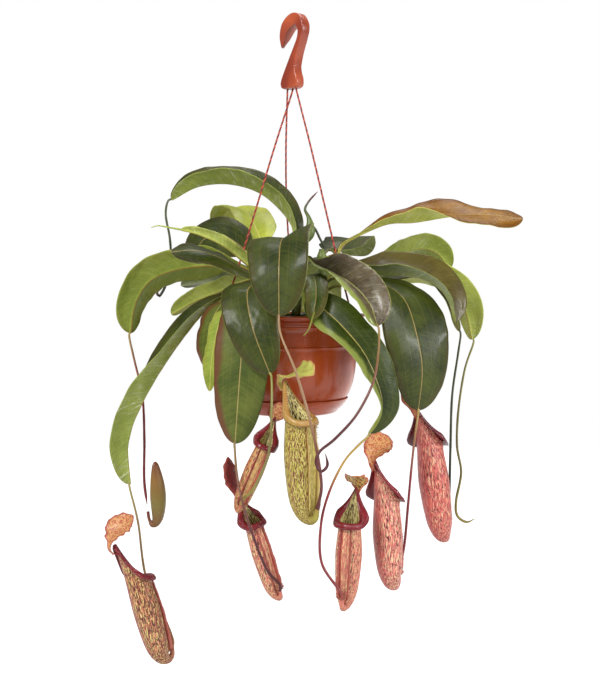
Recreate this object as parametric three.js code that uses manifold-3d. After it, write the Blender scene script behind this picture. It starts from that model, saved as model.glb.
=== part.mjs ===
// Hanging pitcher plant (Nepenthes) in a plastic hanging pot with its saucer, cords and hook.
// Millimetres, +Z up. The origin is the inside of the hook's crown, the point that the whole
// thing hangs from. +X is to the right and -Y to the front of the plant's show side.
import * as THREE from "three";
import { mergeVertices } from "three/addons/utils/BufferGeometryUtils.js";
import Module from "manifold-3d";

const wasm = await Module();
wasm.setup();

// ---------------------------------------------------------------- driving dimensions
const GAP = 0.35; // clearance between pieces that touch on the real thing

const POT = {
  x: -10,
  y: 4,
  rimZ: -342,
  rimRadius: 90,
  rimThickness: 3,
  bandRadius: 81.5,
  bandDepth: 14.5,
  lineDepth: 37, // the moulded line round the wall, below the rim
  height: 115.5,
  footRadius: 53,
  wall: 2,
  sides: 32,
  drainHoles: 4,
  drainRadius: 4,
};
const SAUCER = { rimDepth: 100, clear: 0.6, wall: 1.7, floor: 2, sides: 32 };
const SOIL = { depth: 12, holeRadius: 19 }; // depth: how far its surface lies below the rim

const HOOK = { thickness: 13, turn: -45, edge: 1, boreRadius: 2.4, boreDepth: 8 };
const HOOK_BORES = [-18.5, -10.5, -2.5]; // along the plate, from the crown's centre
const HOOK_FOOT_Z = -74;

const CORD = {
  radius: 1.15,
  lugRadius: 85.5,
  lugHole: 2.5,
  button: 3.3,
  buttonHeight: 3,
  sides: 8,
  steps: 14,
};
// Each cord: its bore in the hook, the bearing of its lug on the rim, and how far its middle sags.
const CORDS = {
  cord_left: { bore: 1, bearing: 206, sag: [0, 0] },
  cord_right: { bore: 2, bearing: 326, sag: [0, 0] },
  cord_rear: { bore: 0, bearing: 86, sag: [-6, 0] },
};

const BLADE = { edge: 0.9, middle: 1.1, rib: 2.4, petiole: 7, tip: 6, droop: 16 };
const TENDRIL = { radius: 1.6, sides: 6 };

// The shoots share one crown above the soil.
const SHOOT_RADIUS = 5.5;
const ROOT_GAP = 3; // from a shoot's skin to the foot of its leaf
const SHOOTS = {
  middle: { x: -2, y: -2, top: -256 },
  left: { x: -38, y: 18, top: -272 },
  right: { x: 28, y: 14, top: -264 },
  front: { x: -24, y: -22, top: -286 },
};
const CROWN = { radius: 15, footDepth: 22, height: 12 };

// ---------------------------------------------------------------- finishes
function finish(colour, roughness) {
  return new THREE.MeshStandardMaterial({ color: colour, roughness, metalness: 0 });
}
const FINISH = {
  terracotta: finish(0xb5512f, 0.4),
  hook: finish(0xb04a33, 0.35),
  cord: finish(0xd24a38, 0.45),
  soil: finish(0x2b1d16, 0.95),
  stem: finish(0x6f8540, 0.6),
  darkLeaf: finish(0x4a5a36, 0.35),
  midLeaf: finish(0x66803f, 0.4),
  paleLeaf: finish(0x8fa65a, 0.45),
  bronzeLeaf: finish(0x9a6a2c, 0.4),
  brownLeaf: finish(0x5a4a44, 0.35),
  tendril: finish(0x7a3b34, 0.5),
  pitcher: finish(0xc98a63, 0.5),
  greenPitcher: finish(0xb5ad57, 0.5),
  pinkPitcher: finish(0xbe6a5c, 0.5),
  lip: finish(0x6a1f2a, 0.25),
  greenLip: finish(0xa9a54a, 0.3),
  bud: finish(0x7a7238, 0.5),
};

// ---------------------------------------------------------------- vectors and paths
const UP = new THREE.Vector3(0, 0, 1);
const radians = THREE.MathUtils.degToRad;
const lerp = THREE.MathUtils.lerp;
const smooth = THREE.MathUtils.smoothstep;

function vec(p) {
  return new THREE.Vector3(...p);
}

function bearing(degrees) {
  return new THREE.Vector3(Math.cos(radians(degrees)), Math.sin(radians(degrees)), 0);
}

function along(point, ...moves) {
  const moved = point.clone();
  for (const [direction, distance] of moves) moved.addScaledVector(direction, distance);
  return moved;
}

function curveThrough(points) {
  return new THREE.CatmullRomCurve3(points, false, "catmullrom", 0.5);
}

// ---------------------------------------------------------------- closed surfaces
// A closed surface from rings with the same number of points, closed at both ends by the given
// triangles of a ring's own indices. It is turned face out by its signed volume.
function skin(rings, { startCap, endCap, diagonal = () => true }) {
  const count = rings[0].length;
  const index = [];
  for (let i = 0; i + 1 < rings.length; i++)
    for (let j = 0; j < count; j++) {
      const a = i * count + j;
      const b = i * count + ((j + 1) % count);
      const c = a + count;
      const d = b + count;
      if (diagonal(j)) index.push(a, b, d, a, d, c);
      else index.push(a, b, c, b, d, c);
    }
  for (const [p, q, r] of startCap) index.push(q, p, r);
  const last = (rings.length - 1) * count;
  for (const [p, q, r] of endCap) index.push(last + p, last + q, last + r);
  return facingOut(rings.flat(), index);
}

function facingOut(points, index) {
  let volume = 0;
  for (let i = 0; i < index.length; i += 3) {
    const [a, b, c] = [points[index[i]], points[index[i + 1]], points[index[i + 2]]];
    volume += a.dot(new THREE.Vector3().crossVectors(b, c));
  }
  if (volume < 0)
    for (let i = 0; i < index.length; i += 3)
      [index[i + 1], index[i + 2]] = [index[i + 2], index[i + 1]];
  const geometry = new THREE.BufferGeometry().setFromPoints(points);
  geometry.setIndex(index);
  geometry.computeVertexNormals();
  return geometry;
}

function fan(count) {
  return Array.from({ length: count - 2 }, (_, k) => [0, k + 1, k + 2]);
}

// The end of a thin band whose ring runs along one face and back along the other.
function bandCap(columns) {
  const cap = [];
  for (let j = 0; j + 1 < columns; j++) {
    const under = 2 * columns - 1 - j;
    cap.push([j, j + 1, under - 1], [j, under - 1, under]);
  }
  return cap;
}

// The directions square to a curve at each of its stations, carried along without twisting.
function carriedFrames(curve, stations) {
  const frames = [];
  let side = null;
  for (const u of stations) {
    const tangent = curve.getTangentAt(u);
    if (!side) side = Math.abs(tangent.z) > 0.9 ? new THREE.Vector3(1, 0, 0) : UP.clone();
    side = along(side, [tangent, -side.dot(tangent)]).normalize();
    frames.push({ at: curve.getPointAt(u), tangent, side, other: tangent.clone().cross(side) });
  }
  return frames;
}

// A round rod along a curve, with its radius given at each station.
function rod(curve, stations, radiusAt, sides) {
  const rings = carriedFrames(curve, stations).map(({ at, side, other }, i) =>
    Array.from({ length: sides }, (_, k) => {
      const angle = (2 * Math.PI * k) / sides;
      const radius = radiusAt(stations[i]);
      return along(at, [side, radius * Math.cos(angle)], [other, radius * Math.sin(angle)]);
    }),
  );
  return skin(rings, { startCap: fan(sides), endCap: fan(sides) });
}

function evenStations(count) {
  return Array.from({ length: count }, (_, i) => i / (count - 1));
}

// ---------------------------------------------------------------- manifold joins and cuts
function solid(geometry) {
  const bare = geometry.index ? geometry.toNonIndexed() : geometry.clone();
  bare.deleteAttribute("normal");
  bare.deleteAttribute("uv");
  const merged = mergeVertices(bare, 1e-3);
  return new wasm.Manifold(
    new wasm.Mesh({
      numProp: 3,
      vertProperties: merged.attributes.position.array,
      triVerts: new Uint32Array(merged.index.array),
    }),
  );
}

function geometryOf(made) {
  const mesh = made.getMesh();
  const geometry = new THREE.BufferGeometry();
  geometry.setAttribute("position", new THREE.BufferAttribute(mesh.vertProperties, 3));
  geometry.setIndex(new THREE.BufferAttribute(mesh.triVerts, 1));
  geometry.computeVertexNormals();
  return geometry;
}

function upright(radius, bottom, top, sides, x = 0, y = 0) {
  const geometry = new THREE.CylinderGeometry(radius, radius, top - bottom, sides);
  return geometry.rotateX(Math.PI / 2).translate(x, y, (bottom + top) / 2);
}

function turned(profile, sides) {
  const geometry = new THREE.LatheGeometry(profile.map((p) => new THREE.Vector2(...p)), sides);
  return geometry.rotateX(Math.PI / 2);
}

// ---------------------------------------------------------------- the object's group
const plant = new THREE.Group();

function add(name, geometry, material, position = [0, 0, 0], turn = 0) {
  const mesh = new THREE.Mesh(geometry, material);
  mesh.name = name;
  mesh.position.set(...position);
  mesh.rotation.z = radians(turn);
  plant.add(mesh);
  return mesh;
}

// ---------------------------------------------------------------- pot, saucer and soil
// Radius of the pot's outer wall at a depth below the rim, under its straight band: nearly
// upright at first, and turned in quickly at the foot.
function potRadius(depth) {
  const t = Math.max(0, (depth - POT.bandDepth) / (POT.height - POT.bandDepth));
  return lerp(POT.footRadius, POT.bandRadius - 1.2, (1 - t ** 3.8) ** 0.8);
}
const UPPER_DEPTHS = [60, 84]; // where the wall has a ring above the saucer
const LOWER_DEPTHS = [SAUCER.rimDepth, 106, 111]; // and within it

function potGeometry() {
  const { rimRadius, rimThickness, bandRadius, bandDepth, lineDepth, height, wall } = POT;
  const depths = [...UPPER_DEPTHS, ...LOWER_DEPTHS];
  const outside = [
    [bandRadius, -bandDepth],
    [bandRadius - 1.2, -bandDepth - 1],
    [potRadius(lineDepth - 1), -lineDepth + 1],
    [potRadius(lineDepth) + 0.8, -lineDepth],
    ...[lineDepth + 1, ...depths, height].map((depth) => [potRadius(depth), -depth]),
  ];
  const inside = [bandDepth, ...depths].map((depth) => [potRadius(depth) - wall, -depth]);
  const profile = [
    [0, -height],
    ...outside.reverse(),
    [bandRadius, -rimThickness],
    [rimRadius, -rimThickness],
    [rimRadius, -0.6],
    [rimRadius - 0.6, 0],
    [bandRadius - wall, 0],
    ...inside,
    [potRadius(height - wall) - wall, -height + wall],
    [0, -height + wall],
  ];
  let pot = solid(turned(profile, POT.sides));
  for (const { bearing: angle } of Object.values(CORDS)) {
    const at = bearing(angle).multiplyScalar(CORD.lugRadius);
    pot = pot.subtract(solid(upright(CORD.lugHole, -rimThickness - 1, 1, 10, at.x, at.y)));
  }
  for (let k = 0; k < POT.drainHoles; k++) {
    const at = bearing((360 * k) / POT.drainHoles + 45).multiplyScalar(POT.footRadius * 0.6);
    const hole = upright(POT.drainRadius, -height - 1, -height + wall + 1, 8, at.x, at.y);
    pot = pot.subtract(solid(hole));
  }
  return geometryOf(pot);
}

function saucerGeometry() {
  const top = -POT.height - GAP;
  const inside = LOWER_DEPTHS.map((depth) => [potRadius(depth) + SAUCER.clear, -depth]);
  const outside = inside.map(([radius, z]) => [radius + SAUCER.wall, z]).reverse();
  return turned(
    [
      [0, top - SAUCER.floor],
      [POT.footRadius, top - SAUCER.floor],
      ...outside,
      ...inside,
      [POT.footRadius + SAUCER.clear, top],
      [0, top],
    ],
    SAUCER.sides,
  );
}

function soilGeometry() {
  const bottom = POT.height - POT.wall - GAP;
  const radiusAt = (depth) => potRadius(depth) - POT.wall - 0.8;
  const mound = turned(
    [
      [0, -bottom],
      ...[bottom, ...LOWER_DEPTHS.toReversed(), SOIL.depth + 8].map((d) => [radiusAt(d), -d]),
      [POT.bandRadius - POT.wall - 3.2, -SOIL.depth],
      [52, -SOIL.depth + 2.5],
      [0, -SOIL.depth + 4],
    ],
    32,
  );
  const hole = upright(SOIL.holeRadius, -SOIL.depth - CROWN.footDepth, 5, 16);
  return geometryOf(solid(mound).subtract(solid(hole)));
}

add("pot", potGeometry(), FINISH.terracotta, [POT.x, POT.y, POT.rimZ]);
add("saucer", saucerGeometry(), FINISH.terracotta, [POT.x, POT.y, POT.rimZ]);
add("soil", soilGeometry(), FINISH.soil, [POT.x, POT.y, POT.rimZ]);

// ---------------------------------------------------------------- hook
// A flat plastic hook, drawn in its own plane with the inside of its crown at the origin.
// Its arm thins towards the tip: the share of the full thickness at a place on the plate.
function armShare(x, z) {
  if (z < -30) return 1;
  return 1 - 0.6 * smooth(-x, 12, 26) * smooth(-z, -8, 18);
}

function hookGeometry() {
  const points = (list) => list.map((p) => new THREE.Vector2(...p));
  const outline = new THREE.Shape();
  outline.moveTo(-26.5, -24);
  outline.splineThru(points([[-29, -11], [-22, 4], [-9, 13], [4, 12], [12, 2], [13, -8], [9, -20]]));
  outline.splineThru(points([[3, -35], [-0.5, -48]]));
  outline.splineThru(points([[0.5, -55], [3, -62], [3.5, -68]]));
  outline.splineThru(points([[2, -72], [-2, HOOK_FOOT_Z]]));
  outline.lineTo(-19, HOOK_FOOT_Z);
  outline.splineThru(points([[-23, -72], [-24.5, -67]]));
  outline.splineThru(points([[-22, -60], [-13, -44], [-3, -27]]));
  outline.splineThru(points([[3, -16], [4, -7], [0, 0]]));
  outline.splineThru(points([[-11, -5.5], [-19, -16]]));
  outline.closePath();
  const { thickness, edge } = HOOK;
  const geometry = new THREE.ExtrudeGeometry(outline, {
    depth: thickness - 2 * edge,
    curveSegments: 2,
    bevelThickness: edge,
    bevelSize: edge,
    bevelOffset: -edge,
    bevelSegments: 1,
  });
  geometry.translate(0, 0, edge - thickness / 2).rotateX(Math.PI / 2);
  const corners = geometry.attributes.position;
  for (let i = 0; i < corners.count; i++)
    corners.setY(i, corners.getY(i) * armShare(corners.getX(i), corners.getZ(i)));
  let hook = solid(geometry);
  for (const x of HOOK_BORES) {
    const bore = upright(HOOK.boreRadius, HOOK_FOOT_Z - 1, HOOK_FOOT_Z + HOOK.boreDepth, 8, x, 0);
    hook = hook.subtract(solid(bore));
  }
  return geometryOf(hook);
}

add("hook", hookGeometry(), FINISH.hook, [0, 0, 0], HOOK.turn);

// ---------------------------------------------------------------- hanger cords
function cordRoute({ bore, bearing: angle, sag }) {
  const start = bearing(HOOK.turn).multiplyScalar(HOOK_BORES[bore]);
  const lug = bearing(angle).multiplyScalar(CORD.lugRadius);
  const from = new THREE.Vector3(start.x, start.y, HOOK_FOOT_Z);
  const to = new THREE.Vector3(POT.x + lug.x, POT.y + lug.y, POT.rimZ);
  const points = [along(from, [UP, HOOK.boreDepth - 2]), from, along(from, [UP, -4])];
  for (const t of [0.25, 0.5, 0.75]) {
    const bow = Math.sin(Math.PI * t);
    points.push(from.clone().lerp(to, t).add(new THREE.Vector3(sag[0] * bow, sag[1] * bow, 0)));
  }
  points.push(along(to, [UP, 4]), along(to, [UP, -POT.rimThickness - 0.2]));
  return points;
}

function cordGeometry(points) {
  const section = new THREE.Shape();
  section.absarc(0, 0, CORD.radius, 0, 2 * Math.PI);
  const cord = new THREE.ExtrudeGeometry(section, {
    steps: CORD.steps,
    curveSegments: CORD.sides / 2,
    bevelEnabled: false,
    extrudePath: curveThrough(points),
  });
  const end = points.at(-1);
  const under = POT.rimZ - POT.rimThickness - GAP;
  const button = upright(CORD.button, under - CORD.buttonHeight, under, 10, end.x, end.y);
  const neck = upright(CORD.radius * 0.9, under - 1, under + 2, 8, end.x, end.y);
  return geometryOf(solid(cord).add(solid(button)).add(solid(neck)));
}

for (const [name, cord] of Object.entries(CORDS))
  add(name, cordGeometry(cordRoute(cord)), FINISH.cord);

// ---------------------------------------------------------------- stem
function shootCurve({ x, y, top }) {
  const foot = POT.rimZ - SOIL.depth;
  return curveThrough([
    new THREE.Vector3(POT.x, POT.y, foot - 4),
    new THREE.Vector3(lerp(POT.x, x, 0.12), lerp(POT.y, y, 0.12), foot + 6),
    new THREE.Vector3(x, y, foot + 20),
    new THREE.Vector3(x, y, top),
  ]);
}

// The newest leaf is still a rolled spear, standing in the middle shoot's sheath.
const SPEAR = [
  [-2, -2, -262], [12, -3, -248], [14, -2, -236], [12, -1, -226], [8, 0, -217], [13, 1, -207],
  [23, 2, -196],
];
const YOUNG_STALK = [[2, -2, -246], [17, 1, -238], [26, 4, -252], [31, 7, -262]];

function stemGeometry() {
  const foot = POT.rimZ - SOIL.depth;
  const crown = turned(
    [
      [0, -CROWN.footDepth + GAP],
      [CROWN.radius, -CROWN.footDepth + GAP],
      [CROWN.radius, 0],
      [CROWN.radius * 0.75, CROWN.height * 0.7],
      [0, CROWN.height],
    ],
    14,
  ).translate(POT.x, POT.y, foot);
  let stem = solid(crown);
  for (const shoot of Object.values(SHOOTS)) {
    stem = stem.add(solid(rod(shootCurve(shoot), evenStations(6), () => SHOOT_RADIUS, 8)));
  }
  const swell = (u) => 1 + 4.5 * Math.exp(-(((u - 0.28) / 0.2) ** 2)) + 1.3 * (1 - u);
  stem = stem.add(solid(rod(curveThrough(SPEAR.map(vec)), evenStations(10), swell, 7)));
  stem = stem.add(solid(rod(curveThrough(YOUNG_STALK.map(vec)), evenStations(6), () => 1.6, 6)));
  return geometryOf(stem);
}

add("stem", stemGeometry(), FINISH.stem);

// ---------------------------------------------------------------- leaves
// A leaf leaves its shoot at a height, runs through the points of its midrib to its tip, and is
// as wide as stated. fold lifts both halves to a V and roll turns the blade about its midrib:
// both are degrees, spaced evenly from the base to the tip. faces turns the blade's face to a
// bearing, where it isn't the one that the midrib runs to. wave is the rise and fall of the
// edge, closes the share of the length where it starts to narrow to its tip, and tail the points
// of a thin unopened end.
const LEAVES = {
  leaf_arch_high: {
    shoot: "middle", height: -270, finish: "brownLeaf", width: 58,
    fold: [50], roll: [-10], swells: [0, 0.4],
    path: [[-7, 14, -235], [-40, 19, -199], [-80, 18, -185], [-120, 14, -188], [-152, 8, -205]],
  },
  leaf_back_fold: {
    shoot: "left", height: -272, finish: "darkLeaf", width: 54, fold: [30, 20, 0], roll: [0],
    path: [[-50, 60, -244], [-66, 92, -215], [-89, 110, -210], [-108, 120, -233]],
  },
  leaf_big_left: {
    shoot: "left", height: -296, finish: "midLeaf", width: 54,
    fold: [20, 25], roll: [50, 55],
    path: [[-76, 2, -284], [-132, -8, -286], [-173, -15, -300], [-193, -19, -329], [-199, -20, -364]],
  },
  leaf_long_left: {
    shoot: "left", height: -314, finish: "darkLeaf", width: 56,
    fold: [40, 42, 45], roll: [-10, -5, 12, 36, 42],
    path: [
      [-84, 0, -318], [-112, -12, -338], [-150, -36, -388], [-182, -50, -443], [-198, -54, -489],
      [-196, -54, -538],
    ],
  },
  leaf_small_left: {
    shoot: "left", height: -305, finish: "paleLeaf", width: 32, fold: [30], roll: [45],
    path: [[-96, 24, -315], [-126, 20, -327], [-154, 16, -343]],
  },
  leaf_grey_left: {
    shoot: "left", height: -290, finish: "midLeaf", width: 28, fold: [20], roll: [40],
    path: [[-86, 36, -300], [-121, 50, -304], [-146, 56, -308]],
  },
  leaf_dark_left: {
    shoot: "front", height: -298, finish: "darkLeaf", width: 42, fold: [0, -7], roll: [-20, -40],
    path: [[-58, -46, -292], [-90, -58, -275], [-118, -66, -267], [-144, -72, -269]],
  },
  leaf_dark_back: {
    shoot: "left", height: -280, finish: "darkLeaf", width: 58, fold: [10, 4], roll: [-45, -58],
    path: [[-66, 28, -264], [-92, 32, -247], [-116, 34, -252], [-132, 36, -280]],
  },
  leaf_bright_narrow: {
    shoot: "front", height: -290, finish: "paleLeaf", width: 22, fold: [45], roll: [10],
    path: [[-54, -40, -286], [-84, -62, -262], [-112, -74, -249], [-132, -80, -244]],
    tail: [[-145, -82, -242], [-157, -83, -240], [-165, -82, -242]],
  },
  leaf_front_centre: {
    shoot: "middle", height: -262, finish: "darkLeaf", width: 74,
    fold: [22, 18, 8], roll: [14, 14, 4], closes: 0.5,
    path: [[-4, -46, -256], [-18, -88, -255], [-21, -120, -284], [-21, -128, -340]],
  },
  leaf_right_brown: {
    shoot: "middle", height: -280, finish: "brownLeaf", width: 56,
    fold: [45, 42], roll: [17, 24],
    path: [[22, -30, -284], [50, -60, -298], [68, -82, -312], [81, -98, -330], [88, -106, -352]],
  },
  leaf_front_small: {
    shoot: "middle", height: -300, finish: "midLeaf", width: 28, fold: [25, 10], roll: [0],
    path: [[10, -46, -297], [18, -74, -298], [20, -100, -318], [16, -110, -343]],
    tail: [[12, -114, -354], [6, -116, -362]],
  },
  leaf_front_right: {
    shoot: "middle", height: -317, finish: "darkLeaf", width: 52,
    fold: [17, 17, 30, 40], roll: [35, 38, 0, -20], swells: [0.1, 0.45],
    path: [
      [14, -54, -315], [24, -88, -329], [48, -104, -351], [72, -114, -380], [87, -115, -412],
      [93, -114, -443], [79, -110, -471],
    ],
  },
  leaf_right_broad: {
    shoot: "right", height: -304, finish: "darkLeaf", width: 88,
    fold: [15, 12, -4], roll: [4, -6, 0], faces: -68, closes: 0.5,
    path: [
      [58, -18, -300], [94, -42, -304], [121, -66, -323], [134, -82, -363], [140, -86, -403],
      [136, -86, -448],
    ],
  },
  leaf_right_under: {
    shoot: "right", height: -313, finish: "midLeaf", width: 36, fold: [10, 0], roll: [20],
    path: [[118, 16, -294], [160, 6, -296], [182, -4, -323], [192, -10, -362]],
  },
  leaf_right_olive: {
    shoot: "right", height: -290, finish: "brownLeaf", width: 62,
    fold: [50, 52, 35], roll: [20, 22, 10],
    path: [
      [61, 8, -284], [93, 2, -293], [124, -9, -295], [153, -20, -301], [174, -30, -320],
      [184, -36, -350],
    ],
  },
  leaf_right_pale: {
    shoot: "right", height: -299, finish: "paleLeaf", width: 50, fold: [35], roll: [-35, -45],
    path: [
      [70, 36, -290], [115, 46, -296], [155, 50, -299], [184, 46, -309], [204, 38, -334],
      [213, 28, -374],
    ],
  },
  leaf_top_right: {
    shoot: "right", height: -274, finish: "bronzeLeaf", width: 62,
    fold: [40, 42, 54, 10, -10], roll: [10, 10, 20, 35], wave: 2.5, swells: [0.1, 0.62],
    path: [
      [55, 16, -257], [103, 12, -234], [140, 8, -231], [187, 0, -224], [227, -8, -224],
      [265, -16, -229],
    ],
  },
  leaf_top_right_small: {
    shoot: "right", height: -268, finish: "darkLeaf", width: 64, fold: [25, 15, 0], roll: [0],
    path: [[48, 46, -268], [62, 74, -253], [68, 100, -250], [76, 128, -270]],
  },
  leaf_hang_rear: {
    shoot: "front", height: -324, finish: "darkLeaf", width: 42,
    fold: [10, 0], roll: [0], faces: -130, swells: [0.3, 0.6],
    path: [[-60, -40, -320], [-88, -43, -328], [-103, -46, -358], [-108, -46, -402]],
  },
  leaf_hang_pale: {
    shoot: "front", height: -333, finish: "paleLeaf", width: 26, fold: [10], roll: [0], faces: -130,
    path: [[-56, -52, -334], [-84, -70, -339], [-97, -76, -380], [-101, -77, -427]],
  },
  leaf_hang_red: {
    shoot: "front", height: -315, finish: "midLeaf", width: 64,
    fold: [15, -5], roll: [0], faces: -100, closes: 0.55,
    path: [
      [-48, -60, -317], [-58, -86, -330], [-62, -94, -364], [-65, -97, -402], [-68, -98, -442],
      [-71, -98, -484],
    ],
  },
  leaf_hang_front: {
    shoot: "front", height: -306, finish: "darkLeaf", width: 60,
    fold: [15, -5], roll: [0], faces: -95, closes: 0.5,
    path: [[-44, -54, -303], [-57, -90, -314], [-50, -114, -354], [-31, -120, -404]],
  },
  leaf_back_mid: {
    shoot: "middle", height: -296, finish: "darkLeaf", width: 58, fold: [15, -5], roll: [0],
    path: [[18, 62, -274], [28, 118, -302], [30, 142, -382]],
  },
  leaf_back_left: {
    shoot: "left", height: -322, finish: "midLeaf", width: 54, fold: [15, -5], roll: [0],
    path: [[-64, 88, -290], [-82, 124, -318], [-88, 136, -388]],
  },
  leaf_right_top: {
    shoot: "right", height: -282, finish: "paleLeaf", width: 44,
    fold: [30, 25], roll: [-35, -45], swells: [0.25, 0.6],
    path: [[72, 38, -282], [118, 56, -273], [150, 66, -262], [174, 70, -268], [190, 68, -288]],
  },
};

const BLADE_STATIONS = [0, 0.1, 0.21, 0.33, 0.46, 0.6, 0.74, 0.88, 0.97, 1];
const BLADE_COLUMNS = [-1, -0.5, 0, 0.5, 1];
const BLADE_SPLIT = [2, 3, 7, 8]; // the ring's cells on the blade's left half, above and below

// The value at a station of a list spaced evenly from the base to the tip.
function keyed(values, u) {
  const place = u * (values.length - 1);
  const k = Math.min(Math.floor(place), values.length - 2);
  return values.length === 1 ? values[0] : lerp(values[k], values[k + 1], place - k);
}

// Share of the full width at a station: a narrow stalk, a long broad blade and a blunt tip.
function bladeShare(u, { swells = [0.06, 0.38], closes = 0.66 }) {
  const swell = smooth(u, ...swells);
  const close = Math.max(0, (u - closes) / (1 - closes));
  return swell * Math.sqrt(Math.max(0, 1 - close ** 2.4));
}

function leafCurve({ shoot, height, path }) {
  const { x, y } = SHOOTS[shoot];
  const first = vec(path[0]);
  const out = new THREE.Vector3(first.x - x, first.y - y, 0).normalize();
  const root = along(new THREE.Vector3(x, y, height), [out, SHOOT_RADIUS + ROOT_GAP]);
  return curveThrough([root, along(root, [out, 12], [UP, 5]), ...path.map(vec)]);
}

// The blade's axes at a station: along the midrib, across it to its left, and off its face.
function bladeFrame(curve, u, { roll, faces }) {
  const tangent = curve.getTangentAt(u);
  const heading = curve.getPointAt(0.4 + 0.6 * u).sub(curve.getPointAt(0)).setZ(0).normalize();
  if (faces !== undefined) heading.lerp(bearing(faces), smooth(u, 0.25, 0.65)).normalize();
  const level = UP.clone().cross(heading);
  const side = along(level, [tangent, -level.dot(tangent)]).normalize();
  const face = tangent.clone().cross(side);
  const angle = radians(keyed(roll, u));
  return {
    at: curve.getPointAt(u),
    across: along(side.clone().multiplyScalar(Math.cos(angle)), [face, Math.sin(angle)]),
    face: along(face.clone().multiplyScalar(Math.cos(angle)), [side, -Math.sin(angle)]),
  };
}

function bladeRing(curve, leaf, u) {
  const { at, across, face } = bladeFrame(curve, u, leaf);
  const stalk = lerp(BLADE.petiole, BLADE.tip, u);
  const half = Math.max(stalk, leaf.width * bladeShare(u, leaf)) / 2;
  const fold = radians(keyed(leaf.fold, u));
  const droop = radians(BLADE.droop);
  const upper = [];
  const lower = [];
  for (const v of BLADE_COLUMNS) {
    const sign = Math.sign(v);
    const outer = Math.max(0, Math.abs(v) - 0.5);
    const inner = Math.abs(v) - outer;
    const spread = inner * Math.cos(fold) + outer * Math.cos(fold - droop);
    const lift = inner * Math.sin(fold) + outer * Math.sin(fold - droop);
    const turn = v === 0 ? 0 : fold - (outer > 0 ? droop : 0);
    const square = face.clone().multiplyScalar(Math.cos(turn));
    const normal = along(square, [across, -sign * Math.sin(turn)]);
    const ripple = (leaf.wave ?? 1.2) * outer * 2 * bladeShare(u, leaf) * Math.sin(19 * u + 2 * v);
    const point = along(at, [across, sign * spread * half], [face, lift * half], [normal, ripple]);
    const thickness = v === 0 ? BLADE.rib : outer > 0 ? BLADE.edge : BLADE.middle;
    upper.push(point);
    lower.unshift(along(point, [normal, -thickness]));
  }
  return [...upper, ...lower];
}

// The blade's two faces are split alike, so they never cross where it is waved or folded.
function leafGeometry(curve, leaf) {
  const rings = BLADE_STATIONS.map((u) => bladeRing(curve, leaf, u));
  const cap = bandCap(BLADE_COLUMNS.length);
  return skin(rings, { startCap: cap, endCap: cap, diagonal: (j) => BLADE_SPLIT.includes(j) });
}

const leafTips = {};
for (const [name, leaf] of Object.entries(LEAVES)) {
  const curve = leafCurve(leaf);
  let geometry = leafGeometry(curve, leaf);
  if (leaf.tail) {
    const tail = curveThrough([curve.getPointAt(0.96), ...leaf.tail.map(vec)]);
    const thin = (u) => lerp(1.3, 0.6, u);
    geometry = geometryOf(solid(geometry).add(solid(rod(tail, evenStations(5), thin, 5))));
  }
  add(name, geometry, FINISH[leaf.finish]);
  leafTips[name] = { at: curve.getPointAt(1), tangent: curve.getTangentAt(1) };
}

// ---------------------------------------------------------------- pitchers
// foot is the lowest point of the cup, mouth the middle of its opening; the front of the cup,
// where its two wings and its tendril are, faces the bearing. peak is how far the back of the
// opening stands above its front. The lid leans by an angle from the cup's own axis and is
// tilted about its own length. flare is how far its lip bows out, as a share of the others'.
const PITCHERS = {
  pitcher_low_left: {
    foot: [-159, -52, -754], mouth: [-187, -52, -653], bearing: 35, radius: 16, peak: 48,
    lid: { lean: 62, length: 2.8, width: 2.1, tilt: 35 }, finish: "pitcher", lip: "lip",
  },
  pitcher_left: {
    foot: [-69, -106, -560], mouth: [-38, -102, -487], bearing: -84, radius: 11, peak: 32,
    lid: { lean: 0, length: 1.5, width: 1.9, tilt: 0 }, finish: "pitcher", lip: "lip",
  },
  pitcher_left_low: {
    foot: [-24, -92, -664], mouth: [-51, -94, -577], bearing: -55, radius: 12, peak: 32,
    lid: { lean: 12, length: 3.7, width: 1.5, tilt: 0 }, finish: "pitcher", lip: "lip",
  },
  pitcher_middle: {
    foot: [6, -124, -570], mouth: [1, -124, -456], bearing: -42, radius: 18.5, peak: 42, flare: 0.5,
    lid: { lean: 86, length: 2.7, width: 2.2, tilt: 25 }, finish: "greenPitcher", lip: "greenLip",
  },
  pitcher_right: {
    foot: [53, -112, -669], mouth: [58, -112, -572], bearing: -110, radius: 15, peak: 36,
    lid: { lean: 62, length: 1.9, width: 1.9, tilt: 0 }, finish: "pinkPitcher", lip: "lip",
  },
  pitcher_right_far: {
    foot: [106, -80, -658], mouth: [100, -76, -554], bearing: 53, radius: 17, peak: 46,
    lid: { lean: 58, length: 2.5, width: 1.9, tilt: 35 }, finish: "pinkPitcher", lip: "lip",
  },
  pitcher_far_right: {
    foot: [170, -40, -612], mouth: [153, -40, -496], bearing: 60, radius: 18, peak: 46,
    lid: { lean: 30, length: 2, width: 1.8, tilt: 20 }, finish: "pinkPitcher", lip: "lip",
  },
};

// The cup's middle line from the tendril's end, under the foot and up to the mouth: steps to the
// front and up, and the cup's radius there, all as shares of its radius.
const CUP_LINE = [[1.15, 1.05], [0.95, 0.5], [0.55, 0.34], [0.15, 0.78], [0, 1.8]];
const CUP_RADII = [0.14, 0.2, 0.34, 0.62, 0.86];
const CUP_ANGLES = [0, 15, 21, 27, 60, 105, 132, 160, 180, 200, 228, 255, 300, 333, 339, 345];
const WING_ANGLES = [21, 339];
const WING_HEIGHT = 4;
const CUP_WALL = 1.3;

function pitcherFrame({ foot, mouth, bearing: angle }) {
  const from = vec(foot);
  const axis = vec(mouth).sub(from);
  const length = axis.length();
  axis.normalize();
  const level = bearing(angle);
  const front = along(level, [axis, -level.dot(axis)]).normalize();
  return { from, axis, length, front, side: axis.clone().cross(front) };
}

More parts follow.
